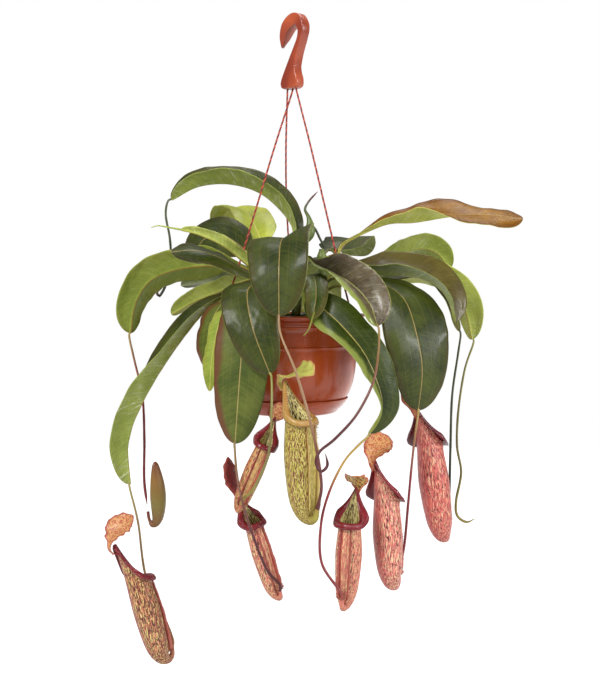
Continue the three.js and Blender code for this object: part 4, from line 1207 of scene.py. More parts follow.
@dataclass
class Hook:
    """The flat plastic hook that the cords hang from."""

    finishes: Finishes
    thickness: float = 13.0
    edge: float = 1.5
    spans: tuple[tuple[tuple[float, float], ...], ...] = (
        ((-26.5, -24), (-29, -11), (-22, 4), (-9, 13), (4, 12), (12, 2), (13, -8), (9, -20)),
        ((9, -20), (3, -35), (-0.5, -48)),
        ((-0.5, -48), (0.5, -55), (3, -62), (3.5, -68)),
        ((3.5, -68), (2, -72), (-2, HOOK_FOOT)),
        ((-2, HOOK_FOOT), (-19, HOOK_FOOT)),
        ((-19, HOOK_FOOT), (-23, -72), (-24.5, -67)),
        ((-24.5, -67), (-22, -60), (-13, -44), (-3, -27)),
        ((-3, -27), (3, -16), (4, -7), (0, 0)),
        ((0, 0), (-11, -5.5), (-19, -16)),
        ((-19, -16), (-26.5, -24)),
    )

    @staticmethod
    def _through(points: Steps) -> np.ndarray:
        """Points of a smooth flat line through the given ones, less its last."""
        p = np.array(points, float)
        if len(p) == 2:
            return p[:1] + (p[1:] - p[:1]) * np.linspace(0, 1, 6)[:-1, None]
        ends = np.vstack([p[0], p, p[-1]])
        t = np.linspace(0, 1, 9)[:-1, None]
        return np.concatenate([bend(*ends[k : k + 4], t) for k in range(len(p) - 1)])

    def build(self) -> None:
        """Makes the hook with rounded edges and a sunken plain field at its crown."""
        outline = np.concatenate([self._through(span) for span in self.spans])
        curve = bpy.data.curves.new("hook_outline", "CURVE")
        curve.dimensions, curve.fill_mode = "2D", "BOTH"
        line = curve.splines.new("POLY")
        line.points.add(len(outline) - 1)
        line.points.foreach_set("co", fields(*(outline.T * MM), 0.0, 1.0).ravel())
        line.use_cyclic_u = True
        curve.extrude = (self.thickness / 2 - self.edge) * MM
        curve.bevel_depth, curve.bevel_resolution = self.edge * MM, 4
        curve.offset = -self.edge * MM
        drawn = linked("hook_outline", curve)
        graph = bpy.context.evaluated_depsgraph_get()
        mesh = bpy.data.meshes.new_from_object(drawn.evaluated_get(graph))
        bpy.data.objects.remove(drawn)
        flat = np.zeros(len(mesh.vertices) * 3)
        mesh.vertices.foreach_get("co", flat)
        flat = flat.reshape(-1, 3)
        arm = smooth(-flat[:, 0], 0.012, 0.026) * smooth(-flat[:, 1], -0.008, 0.018)
        arm = arm * (flat[:, 1] > -0.03)
        thick = flat[:, 2:3] * (1 - 0.6 * arm[:, None])
        ahead = flat[:, 0:1] * bearing(HOOK_TURN)
        aside = -thick * np.cross(UP, bearing(HOOK_TURN))
        mesh.vertices.foreach_set("co", (ahead + aside + flat[:, 1:2] * UP).ravel())
        mesh.materials.clear()
        mesh.materials.append(self.finishes("hook"))
        mesh.update()
        made = place("hanging_hook", mesh)
        mesh.shade_smooth()
        edges = made.modifiers.new("weld", "WELD")
        edges.merge_threshold = 0.00002
        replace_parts(made, "hook")


@dataclass
class Leaf:
    """One leaf, on a blade that follows its midrib from its shoot to its tip.

    fold lifts both halves to a V and roll turns the blade about its midrib, in degrees spaced
    evenly from base to tip. faces turns its face to a bearing, swells gives where it broadens,
    closes where it starts to narrow to its tip, and tail the points of a thin unopened end.
    """

    node: str
    shoot: str
    height: float
    width: float
    fold: tuple[float, ...]
    roll: tuple[float, ...]
    path: Steps
    tone: Tone
    slot: str
    faces: float | None = None
    wave: float = 1.2
    swells: tuple[float, float] = (0.06, 0.38)
    closes: float = 0.66
    tail: Steps = ()

    PETIOLE, TIP = 7.0, 2.6
    SHEET, RIB = 0.6, 1.5
    DROOP = 16.0
    STATIONS, COLUMNS = 78, 33

    @property
    def seed(self) -> int:
        """A number of the leaf's own."""
        return sum(ord(c) * (k + 3) for k, c in enumerate(self.node))

    def route(self) -> Route:
        """The midrib's line."""
        x, y, _ = SHOOTS[self.shoot]
        out = unit(np.array([self.path[0][0] - x, self.path[0][1] - y, 0.0]))
        root = np.array([x, y, self.height]) + out * (SHOOT_RADIUS + 3)
        return Route([root, root + out * 12 + UP * 5, *self.path])

    def share(self, u: np.ndarray) -> np.ndarray:
        """Shares of the full width: a narrow stalk, a long broad blade and a blunt tip."""
        close = np.maximum(0, (u - self.closes) / (1 - self.closes))
        return smooth(u, *self.swells) * np.sqrt(np.maximum(0, 1 - close**2.4))

    def axes(self, route: Route, u: np.ndarray) -> tuple[np.ndarray, np.ndarray]:
        """Directions across the blade and off its face at each station."""
        tangent = route.heading(u)
        ahead = unit((route.at(0.4 + 0.6 * u) - route.at(np.zeros(1))) * [1, 1, 0])
        if self.faces is not None:
            turned = smooth(u, 0.25, 0.65)[:, None]
            ahead = unit(ahead * (1 - turned) + bearing(self.faces) * turned)
        level = np.cross(UP, ahead)
        side = unit(level - tangent * dot(level, tangent))
        face = np.cross(tangent, side)
        angle = np.radians(keyed(self.roll, u))[:, None]
        return side * np.cos(angle) + face * np.sin(angle), face * np.cos(angle) - side * np.sin(angle)

    def _profile(self, u: np.ndarray, v: np.ndarray) -> tuple[np.ndarray, np.ndarray, np.ndarray]:
        """How far each column lies across and off the face, in half widths, and its slope."""
        fine = np.linspace(0, 1, 97)
        fold = np.radians(keyed(self.fold, u))[:, None]
        slope = fold * smooth(fine, -0.04, 0.07) - math.radians(self.DROOP) * smooth(fine, 0.26, 0.78)
        step = fine[1]
        across = np.concatenate([0 * fold, np.cumsum(np.cos(slope[:, 1:]), 1)], 1) * step
        lift = np.concatenate([0 * fold, np.cumsum(np.sin(slope[:, 1:]), 1)], 1) * step
        at = np.abs(v) * (len(fine) - 1)
        low = np.minimum(at.astype(int), len(fine) - 2)
        part = at - low
        read = [row[:, low] * (1 - part) + row[:, low + 1] * part for row in (across, lift, slope)]
        return read[0], read[1], read[2]

    def build(self, finishes: Finishes) -> None:
        """Makes the leaf."""
        route = self.route()
        t = np.linspace(0, 1, self.STATIONS)
        u = 1 - (1 - t) ** 1.5
        columns = np.linspace(-1, 1, self.COLUMNS)
        v = np.sign(columns) * np.abs(columns) ** 1.25
        across, off = self.axes(route, u)
        at = route.at(u)
        x, y, _ = SHOOTS[self.shoot]
        back = unit(at[0] - np.array([x, y, self.height]))
        at = np.vstack([at[0] - back * 4.2 - UP * 0.5, at])
        across, off = np.vstack([across[:1], across]), np.vstack([off[:1], off])
        u = np.concatenate([[0.0], u])
        ending = smooth(u, 0.965, 1.0)
        stalk = (self.PETIOLE * (1 - u) + 5.0 * u) * (1 - ending) + self.TIP * ending
        share = self.share(u)
        half = (np.maximum(stalk, self.width * share) / 2)[:, None]
        spread, lift, slope = self._profile(u, v)
        sign = np.sign(v)[None]
        lean = (sign * np.sin(slope))[..., None]
        normal = off[:, None] * np.cos(slope)[..., None] - across[:, None] * lean
        outer = np.maximum(0, np.abs(v)[None] - 0.5) * 2
        sway = self.wave * outer * np.sin(19 * u[:, None] + 2 * v[None])
        crimp = 0.5 * outer**2 * ripple(34 * u[:, None] + 3 * v[None], self.seed)
        pucker = 0.22 * ripple(60 * u[:, None], self.seed + 1) * ripple(9 * v[None], self.seed + 2)
        wave = (sway + crimp + pucker) * share[:, None]
        ribbed = np.exp(-((v[None] * half / 1.0) ** 2))
        top = at[:, None] + across[:, None] * (sign * spread * half)[..., None]
        top = top + off[:, None] * (lift * half)[..., None]
        top = top + normal * (wave - 0.3 * ribbed * smooth(share, 0, 0.3)[:, None])[..., None]
        keel = self.RIB * (1 - 0.45 * u[:, None])
        under = top - normal * (self.SHEET + keel * ribbed)[..., None]
        both = np.concatenate([v, v[::-1]])
        span = fields(u[:, None], both, half * (1 - np.abs(both)) * MM)
        metric = fields(u[:, None] * route.length * MM, both * half * MM, self.seed * 0.013)
        form = Form()
        form.sheet(top, under, 0, 1, span, metric)
        if len(self.tail):
            tail = Route([route.at(np.array([0.94]))[0], *self.tail])
            form.tube(tail, lambda s: 1.35 - 0.8 * s, np.linspace(0, 1, 16), 10, 1)
        made = form.build("blade_" + self.node[5:], finishes.faces(self.tone), self.slot)
        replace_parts(made, self.node)


LEAVES = (
    Leaf("leaf_arch_high", "middle", -270, 58, (50,), (-10,), ((-7, 14, -235), (-40, 19, -199),
         (-80, 18, -185), (-120, 14, -188), (-152, 8, -205)),
         Tone.DARK, "leaf_brown", swells=(0, 0.4)),
    Leaf("leaf_back_fold", "left", -272, 54, (30, 20, 0), (0,), ((-50, 60, -244), (-66, 92, -215),
         (-89, 110, -210), (-108, 120, -233)), Tone.LIME, "leaf_dark"),
    Leaf("leaf_big_left", "left", -296, 54, (20, 25), (50, 55), ((-76, 2, -284), (-132, -8, -286),
         (-173, -15, -300), (-193, -19, -329), (-199, -20, -364)), Tone.GREEN, "leaf_green"),
    Leaf("leaf_long_left", "left", -314, 56, (40, 42, 45), (-10, -5, 12, 36, 42), ((-84, 0, -318),
         (-112, -12, -338), (-150, -36, -388), (-182, -50, -443), (-198, -54, -489),
         (-196, -54, -538)), Tone.DARK, "leaf_dark"),
    Leaf("leaf_small_left", "left", -305, 32, (30,), (45,), ((-96, 24, -315), (-126, 20, -327),
         (-154, 16, -343)), Tone.PALE, "leaf_pale"),
    Leaf("leaf_grey_left", "left", -290, 28, (20,), (40,), ((-86, 36, -300), (-121, 50, -304),
         (-146, 56, -308)), Tone.GREY, "leaf_green"),
    Leaf("leaf_dark_left", "front", -298, 42, (0, -7), (-20, -40), ((-58, -46, -292),
         (-90, -58, -275), (-118, -66, -267), (-144, -72, -269)), Tone.DARK, "leaf_dark"),
    Leaf("leaf_dark_back", "left", -280, 58, (10, 4), (-45, -58), ((-66, 28, -264), (-92, 32, -247),
         (-116, 34, -252), (-132, 36, -280)), Tone.DARK, "leaf_dark"),
    Leaf("leaf_bright_narrow", "front", -290, 22, (45,), (10,), ((-54, -40, -286), (-84, -62, -262),
         (-112, -74, -249), (-132, -80, -244)), Tone.PALE, "leaf_pale", tail=((-145, -82, -242),
         (-157, -83, -240), (-165, -82, -242))),
    Leaf("leaf_front_centre", "middle", -262, 74, (22, 18, 8), (14, 14, 4), ((-4, -46, -256),
         (-18, -88, -255), (-21, -120, -284), (-21, -128, -340)),
         Tone.DARK, "leaf_dark", closes=0.5),
    Leaf("leaf_right_brown", "middle", -280, 56, (45, 42), (17, 24), ((22, -30, -284),
         (50, -60, -298), (68, -82, -312), (81, -98, -330), (88, -106, -352)),
         Tone.BROWN, "leaf_brown"),
    Leaf("leaf_front_small", "middle", -300, 28, (25, 10), (0,), ((10, -46, -297), (18, -74, -298),
         (20, -100, -318), (16, -110, -343)), Tone.GREEN, "leaf_green", tail=((12, -114, -354),
         (6, -116, -362))),
    Leaf("leaf_front_right", "middle", -317, 52, (17, 17, 30, 40), (35, 38, 0, -20),
         ((14, -54, -315), (24, -88, -329), (48, -104, -351), (72, -114, -380), (87, -115, -412),
         (93, -114, -443), (79, -110, -471)), Tone.HALF_PALE, "leaf_dark", swells=(0.1, 0.45)),
    Leaf("leaf_right_broad", "right", -304, 88, (15, 12, -4), (4, -6, 0), ((58, -18, -300),
         (94, -42, -304), (121, -66, -323), (134, -82, -363), (140, -86, -403), (136, -86, -448)),
         Tone.DARK, "leaf_dark", faces=-68, closes=0.5),
    Leaf("leaf_right_under", "right", -313, 36, (10, 0), (20,), ((118, 16, -294), (160, 6, -296),
         (182, -4, -323), (192, -10, -362)), Tone.GREEN, "leaf_green"),
    Leaf("leaf_right_olive", "right", -290, 62, (50, 52, 35), (20, 22, 10), ((61, 8, -284),
         (93, 2, -293), (124, -9, -295), (153, -20, -301), (174, -30, -320), (184, -36, -350)),
         Tone.OLIVE, "leaf_brown"),
    Leaf("leaf_right_pale", "right", -299, 50, (35,), (-35, -45), ((70, 36, -290), (115, 46, -296),
         (155, 50, -299), (184, 46, -309), (204, 38, -334), (213, 28, -374)),
         Tone.PALE, "leaf_pale"),
    Leaf("leaf_top_right", "right", -274, 62, (40, 42, 54, 10, -10), (10, 10, 20, 35),
         ((55, 16, -257), (103, 12, -234), (140, 8, -231), (187, 0, -224), (227, -8, -224),
         (265, -16, -229)), Tone.BRONZE, "leaf_bronze", wave=2.5, swells=(0.1, 0.62)),
    Leaf("leaf_top_right_small", "right", -268, 64, (25, 15, 0), (0,), ((48, 46, -268),
         (62, 74, -253), (68, 100, -250), (76, 128, -270)), Tone.DARK, "leaf_dark"),
    Leaf("leaf_hang_rear", "front", -324, 42, (10, 0), (0,), ((-60, -40, -320), (-88, -43, -328),
         (-103, -46, -358), (-108, -46, -402)),
         Tone.RED_EDGE, "leaf_dark", faces=-130, swells=(0.3, 0.6)),
    Leaf("leaf_hang_pale", "front", -333, 26, (10,), (0,), ((-56, -52, -334), (-84, -70, -339),
         (-97, -76, -380), (-101, -77, -427)), Tone.PALE, "leaf_pale", faces=-130),
    Leaf("leaf_hang_red", "front", -315, 64, (15, -5), (0,), ((-48, -60, -317), (-58, -86, -330),
         (-62, -94, -364), (-65, -97, -402), (-68, -98, -442), (-71, -98, -484)),
         Tone.RED_EDGE, "leaf_green", faces=-100, closes=0.55),
    Leaf("leaf_hang_front", "front", -306, 60, (15, -5), (0,), ((-44, -54, -303), (-57, -90, -314),
         (-50, -114, -354), (-31, -120, -404)), Tone.DARK, "leaf_dark", faces=-95, closes=0.5),
    Leaf("leaf_back_mid", "middle", -296, 58, (15, -5), (0,), ((18, 62, -274), (28, 118, -302),
         (30, 142, -382)), Tone.DARK, "leaf_dark"),
    Leaf("leaf_back_left", "left", -322, 54, (15, -5), (0,), ((-64, 88, -290), (-82, 124, -318),
         (-88, 136, -388)), Tone.GREEN, "leaf_green"),
    Leaf("leaf_right_top", "right", -282, 44, (30, 25), (-35, -45), ((72, 38, -282),
         (118, 56, -273), (150, 66, -262), (174, 70, -268), (190, 68, -288)),
         Tone.PALE, "leaf_pale", swells=(0.25, 0.6)),
)


@dataclass
class Stem:
    """The crown, its four shoots, the rolled newest leaf and a young stalk."""

    finishes: Finishes
    spear: Steps = ((-2, -2, -262), (12, -3, -248), (14, -2, -236), (12, -1, -226), (8, 0, -217),
                    (13, 1, -207), (23, 2, -196))
    stalk: Steps = ((2, -2, -246), (17, 1, -238), (26, 4, -252), (31, 7, -262))

    CROWN = ((0.001, -21), (14.5, -21), (15, -10), (15, 0), (13.8, 4.5), (11.3, 8.2), (6.5, 11),
             (0.001, 12))

    @staticmethod
    def _jointed(u: np.ndarray) -> np.ndarray:
        """A shoot's radius, with its leaf joints."""
        return SHOOT_RADIUS * (1 + 0.09 * np.cos(u * 44) ** 8) * (1 - 0.5 * smooth(u, 0.93, 1.0))

    @staticmethod
    def _swollen(u: np.ndarray) -> np.ndarray:
        """The rolled leaf's radius, widest in its lower third."""
        return 1 + 4.5 * np.exp(-(((u - 0.28) / 0.2) ** 2)) + 1.3 * (1 - u) - 0.6 * smooth(u, 0.9, 1)

    def build(self) -> None:
        """Makes the stem as one piece."""
        form = Form()
        middle = RIM - UP * 12
        foot = middle[2]
        form.lathe(self.CROWN, 40, middle)
        for number, (x, y, top) in enumerate(SHOOTS.values()):
            at = middle * 0.88 + np.array([x, y, foot]) * 0.12
            line = Route([middle - UP * 4, [at[0], at[1], foot + 6], [x, y, foot + 20], [x, y, top]])
            form.tube(line, self._jointed, np.linspace(0, 1, 60), 20, 0, number)
        form.tube(Route(self.spear), self._swollen, np.linspace(0, 1, 60), 18, 1, 7)
        form.tube(Route(self.stalk), lambda u: 1.7 - 0.3 * u, np.linspace(0, 1, 24), 12, 2, 9)
        finishes = [self.finishes(name) for name in ("stem", "spear", "young_stalk")]
        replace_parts(form.build("stem_and_shoots", finishes, "stem"), "stem")


@dataclass(frozen=True)
class Lid:
    """A pitcher's lid: its lean from the cup's axis and its tilt about its own length, in degrees.

    length and width are shares of the cup's radius.
    """

    lean: float
    length: float
    width: float
    tilt: float


@dataclass
class Pitcher:
    """One pitcher: cup, wings with fringes, lid and lip. Its front, with the wings, faces a bearing."""

    node: str
    foot: tuple[float, float, float]
    mouth: tuple[float, float, float]
    bearing: float
    radius: float
    peak: float
    lid: Lid
    skin: str
    slot: str
    lid_skins: tuple[str, str]
    lip_skin: str = "lip_red"
    lip_slot: str = "lip_red"
    wing_skin: str = "wing"
    flare: float = 1.0

    WALL, HAIRS = 1.1, 3.2
    LINE = ((1.15, 1.05), (0.95, 0.5), (0.55, 0.34), (0.15, 0.78), (0, 1.8))
    RADII = (0.14, 0.2, 0.34, 0.62, 0.86, 1.0, 0.93, 1.0)
    RISES = (0, 0, 0, 0, 0, 0, 0.5, 1.0)
    LID_WIDTHS = (0.15, 0.15, 0.28, 0.85, 1, 0.92, 0.7, 0.28)
    LIP_SECTION = (
        (-1, 0, 1.6), (-1.05, 0, 2.4), (-1, 0, 3.2), (0, 0.25, 3.5), (0, 0.6, 3.3), (0.3, 0.85, 2.1),
        (1, 1, 0.4), (0.9, 0.95, -0.3), (0.3, 0.7, 0.5), (0, 0.4, 1.5), (-0.4, 0.1, 1.5),
    )
    CORNER = 105

    def __post_init__(self) -> None:
        """Works out the cup's own axes."""
        self.start = np.array(self.foot, float)
        axis = np.array(self.mouth, float) - self.start
        self.tall = float(np.linalg.norm(axis))
        self.axis = unit(axis)
        level = bearing(self.bearing)
        self.front = unit(level - self.axis * float(self.axis @ level))
        self.side = np.cross(self.axis, self.front)
        self.seed = sum(ord(c) * (k + 5) for k, c in enumerate(self.node)) % 97

    def centres(self) -> np.ndarray:
        """The points of the cup's middle line."""
        size = self.radius
        low = [self.start + self.front * f * size + self.axis * a * size for f, a in self.LINE]
        heights = ((1.8 * size + self.tall) / 2, self.tall - 0.55 * size, self.tall)
        return np.array([*low, *[self.start + self.axis * h for h in heights]])

    def stations(self, count: int) -> dict[str, np.ndarray]:
        """The cup's centres, outward directions, radii and rises, close together."""
        points = self.centres()
        line = Route(points)
        t = np.linspace(0, 1, count)
        at = line.place(t)
        heading = unit(np.gradient(at, axis=0))
        outward = np.cross(self.side, heading)
        keys = np.linspace(0, 1, len(points))
        shaped = Route([[k, r * self.radius, s] for k, r, s in zip(keys, self.RADII, self.RISES)])
        _, radius, rise = shaped.place(t).T
        return {"at": at, "out": unit(outward), "radius": radius, "rise": np.clip(rise, 0, 1), "t": t}

    @staticmethod
    def back(angle: np.ndarray) -> np.ndarray:
        """How much of the back a bearing round the cup is."""
        return ((1 - np.cos(angle)) / 2) ** 2.6

    def surface(self, rows: dict[str, np.ndarray], angle: np.ndarray, inset: float) -> np.ndarray:
        """Points of the cup's wall, as stations by angles."""
        back = self.back(angle)[None]
        reach = (rows["radius"] - inset)[:, None]
        rise = rows["rise"][:, None]
        pinch = 1 - 0.72 * back**0.8 * rise
        return (
            rows["at"][:, None]
            + rows["out"][:, None] * (reach * np.cos(angle)[None])[..., None]
            + self.side * (reach * np.sin(angle)[None] * pinch)[..., None]
            + self.axis * (self.peak * back * rise)[..., None]
        )

    def _cup(self, form: Form) -> None:
        """Adds the outer and inner walls of the cup."""
        count, around, floor = 74, 84, 30
        rows = self.stations(count)
        even = angles(around)
        angle = even - 0.18 * np.sin(2 * even)
        outer = self.surface(rows, angle, 0)
        inner = self.surface(rows, angle, self.WALL)[floor:]
        t = np.concatenate([rows["t"], rows["t"][floor:][::-1]])[:, None]
        turn = angle / TURN
        span = fields(t, turn, 0.02)
        metric = fields(t * self.tall * MM, (turn - 0.5) * TURN * self.radius * MM, self.seed)
        form.grid(outer, 0, True, span[:count], metric[:count])
        form.grid(inner[::-1], 1, True, span[count:], metric[count:])
        edge = np.stack([outer[-1], inner[-1]])
        form.grid(edge, 0, True, span[count - 1 : count + 1], metric[count - 1 : count + 1])

    def _wings(self, form: Form) -> None:
        """Adds the two fringed wings down the cup's front."""
        rng = np.random.default_rng(self.seed)
        rows = self.stations(120)
        t = rows["t"]
        keep = (t > 0.33) & (t < 0.985)
        size = min(1, self.radius / 14)
        height = size * (2.2 + 3.4 * (1 - smooth(t, 0.42, 0.95))) * smooth(t, 0.33, 0.4)
        for sign in (-1, 1):
            angle = np.array([sign * math.radians(21)])
            base = self.surface(rows, angle, 0.2)[:, 0]
            splay = math.radians(sign * 34)
            out = unit(rows["out"] * math.cos(splay) + self.side * math.sin(splay))
            frill = ripple(t * 46, self.seed + sign) * 0.5
            tip = base + out * (height + 0.4 * ripple(t * 60, self.seed + 4))[:, None]
            tip = tip + self.side * frill[:, None]
            thick = unit(np.cross(out, self.axis)) * 0.28
            ring = np.stack([base - thick * 1.6, tip - thick, tip + thick, base + thick * 1.6], 1)[keep]
            share = t[keep][:, None] + np.zeros(4)
            metric = fields(share * self.tall * MM, 0.0, self.seed)
            form.grid(ring, 2, True, fields(share, 0.0, 0.0), metric, caps=True)
            self._fringe(form, rng, t, tip, out)

    def _fringe(
        self, form: Form, rng: np.random.Generator, t: np.ndarray, tip: np.ndarray, out: np.ndarray
    ) -> None:
        """Adds the hairs of one wing's edge."""
        for spot in np.arange(0.37, 0.97, 1.15 / self.tall):
            k = int(spot * (len(t) - 1))
            start = tip[k] - out[k] * 0.5
            lean = self.axis * rng.uniform(-0.5, 0.7) + self.side * rng.uniform(-0.4, 0.4)
            way = unit(out[k] + lean)
            long = self.HAIRS * rng.uniform(0.5, 1.15)
            bend = start + way * long * 0.5 + self.axis * rng.uniform(-0.2, 0.3)
            hair = Route([start, bend, start + way * long + self.axis * rng.uniform(-0.5, 0.6)])
            form.tube(hair, lambda u: 0.32 * (1.1 - u), np.linspace(0, 1, 4), 4, 2, 1.0)

    def _lid(self, form: Form) -> None:
        """Adds the lid on its neck, and the spur behind it."""
        mouth = self.start + self.axis * self.tall
        back = -self.front
        root = mouth + back * (self.radius - 0.6) + self.axis * (self.peak - 8.5)
        lean = math.radians(self.lid.lean)
        blade = self.axis * math.cos(lean) + self.front * math.sin(lean)
        neck = root + back * (4 + self.radius / 5) + self.axis * 11
        long = self.lid.length * self.radius
        line = Route([
            root, root + back * (3 + self.radius / 7) + self.axis * 2.5, neck,
            neck + self.axis * 0.12 * long + blade * 0.3 * long,
            neck + self.axis * 0.16 * long + blade * 0.65 * long,
            neck + self.axis * 0.08 * long + blade * long,
        ])
        u = 1 - (1 - np.linspace(0, 1, 46)) ** 1.25
        share = np.convolve(np.pad(keyed(self.LID_WIDTHS, u), 2, mode="edge"), np.ones(5) / 5, "valid")
        share *= np.sqrt(np.maximum(0.02, 1 - np.maximum(0, (u - 0.82) / 0.18) ** 2.2))
        half = (share * self.lid.width * self.radius / 2)[:, None]
        square = unit(np.cross(self.side, line.heading(u)))
        tilt = np.radians(self.lid.tilt * smooth(u, 0.3, 0.7))[:, None]
        face = square * np.cos(tilt) + self.side * np.sin(tilt)
        across = self.side * np.cos(tilt) - square * np.sin(tilt)
        v = np.linspace(-1, 1, 25)[None]
        broad = smooth(share, 0.2, 0.7)[:, None]
        frill = broad * v**2 * 1.5 * ripple(u[:, None] * 22 + np.sign(v) * 2, self.seed + 9)
        bow = 0.6 - 0.25 * half * v * v + frill
        top = line.at(u)[:, None] + across[:, None] * (v * half)[..., None]
        top = top + face[:, None] * bow[..., None]
        under = top - face[:, None] * 0.7
        both = np.concatenate([v[0], v[0][::-1]])
        rim = np.minimum(half * (1 - np.abs(both)), (1 - u[:, None]) * line.length) * MM
        span = fields(u[:, None], both, rim)
        metric = fields(u[:, None] * line.length * MM, both * half * MM, self.seed)
        form.sheet(top, under, 3, 4, span, metric)
        foot = root + back * 3.2 + self.axis * 2
        spur = Route([foot, foot + back * 3 - self.axis * 0.5, foot + back * 5.5 - self.axis * 2.5])
        form.tube(spur, lambda s: 0.75 * (1.1 - s), np.linspace(0, 1, 8), 7, 3, 2.0)

    def _lip(self, finishes: Finishes) -> None:
        """Makes the ribbed lip, bowed over outward and drawn to a point at its two corners."""
        form = Form()
        rows = {
            "at": (self.start + self.axis * self.tall)[None], "out": self.front[None],
            "radius": np.array([self.radius]), "rise": np.ones(1),
        }
        angle = angles(168)
        edge = self.surface(rows, angle, 0)[0]
        outward = self.front * np.cos(angle)[:, None] + self.side * np.sin(angle)[:, None]
        size = self.radius / 16
        turn = np.degrees(np.minimum(angle, TURN - angle))
        corner = np.exp(-(((turn - self.CORNER) / 24) ** 2))
        point = np.exp(-np.abs((turn - self.CORNER) / 11) ** 1.5)
        back = self.back(angle)
        flare = size * self.flare * (4.2 + 3.4 * corner + 2.2 * point - 1.6 * back)
        low = 2.4 + 2.2 * corner + 1.2 * point
        droop = size * (low * (1 - back) + 1.4 * back)
        lines = []
        for inside, share, rise in self.LIP_SECTION:
            hang = max(0.0, 1 - rise / 1.6) if share > 0.6 else 0.0
            out = inside * (self.WALL + 1.2 if inside < 0 else 1.0) + share * flare
            lines.append(edge + outward * out[:, None] + self.axis * (rise - droop * hang)[:, None])
        turned = (angle / TURN)[:, None]
        around = np.arange(len(lines)) / len(lines)
        span = fields(turned, around, 0.0)
        metric = fields(turned * 6.28 * self.radius * MM, around * 12 * MM, self.seed)
        form.grid(np.stack(lines, 1), 0, True, span, metric, loop=True)
        made = form.build("rim_" + self.node[8:], [finishes(self.lip_skin)], self.lip_slot)
        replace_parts(made, self.node.replace("pitcher", "lip"))

    def build(self, finishes: Finishes) -> None:
        """Makes the pitcher and its lip."""
        form = Form()
        self._cup(form)
        self._wings(form)
        self._lid(form)
        skins = [finishes(name) for name in (self.skin, "inside", self.wing_skin, *self.lid_skins)]
        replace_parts(form.build("cup_" + self.node[8:], skins, self.slot), self.node)
        self._lip(finishes)


PITCHERS = {
    made.node: made
    for made in (
        Pitcher("pitcher_low_left", (-159, -52, -754), (-187, -52, -653), 35, 16, 48,
                Lid(62, 2.8, 2.1, 35), "cup_speckled", "pitcher_cream",
                ("lid_salmon", "lid_salmon")),
        Pitcher("pitcher_left", (-69, -106, -560), (-38, -102, -487), -84, 11, 32,
                Lid(0, 1.5, 1.9, 0), "cup_cream", "pitcher_cream", ("lid_salmon", "lid_red")),
        Pitcher("pitcher_left_low", (-24, -92, -664), (-51, -94, -577), -55, 12, 32,
                Lid(12, 3.7, 1.5, 0), "cup_salmon", "pitcher_cream", ("lid_red", "lid_red")),
        Pitcher("pitcher_middle", (6, -124, -570), (1, -124, -456), -42, 18.5, 42,
                Lid(86, 2.7, 2.2, 25), "cup_green", "pitcher_green", ("lid_green", "lid_green"),
                "lip_green", "lip_green", wing_skin="wing_green", flare=0.5),
        Pitcher("pitcher_right", (53, -112, -669), (58, -112, -572), -110, 15, 36,
                Lid(62, 1.9, 1.9, 0), "cup_salmon", "pitcher_pink", ("lid_yellow", "lid_yellow")),
        Pitcher("pitcher_right_far", (106, -80, -658), (100, -76, -554), 53, 17, 46,
                Lid(58, 2.5, 1.9, 35), "cup_pink", "pitcher_pink", ("lid_salmon", "lid_salmon")),
        Pitcher("pitcher_far_right", (170, -40, -612), (153, -40, -496), 60, 18, 46,
                Lid(30, 2, 1.8, 20), "cup_rose", "pitcher_pink", ("lid_salmon", "lid_salmon"),
                "lip_dark"),
    )
}


@dataclass
class Tendril:
    """A tendril from a leaf's tip to a pitcher's foot, or to its own bare end."""

    node: str
    leaf: str
    skin: str
    path: Steps
    pitcher: str | None = None

    def build(self, finishes: Finishes, leaves: dict[str, Leaf]) -> None:
        """Makes the tendril."""
        midrib = leaves[self.leaf].route()
        ends = np.ones(1)
        tip, way = midrib.at(ends)[0], midrib.heading(ends)[0]
        points, base = [tip - way * 2.0, tip + way * 5, *self.path], 0.5
        if self.pitcher:
            cup = PITCHERS[self.pitcher]
            foot, above = cup.centres()[:2]
            back = unit(foot - above)
            points += [foot + back * 9, foot - back * 0.4]
            base = cup.radius * cup.RADII[0]
        route = Route(points)

        def radii(u: np.ndarray) -> np.ndarray:
            """The tendril's radius, a little uneven, meeting the pitcher's foot or thinning out."""
            thick = 1.25 + 0.45 * u + 0.06 * ripple(u * 30, len(self.node))
            ending = smooth(u, 0.94, 1)
            return thick * (1 - ending) + base * ending

        form = Form()
        count = int(route.length / 2.2)
        form.tube(route, radii, np.linspace(0, 1, count), 12, 0, len(self.path) * 0.37)
        made = form.build(self.node + "_grown", [finishes(self.skin)], "tendril")
        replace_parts(made, self.node)


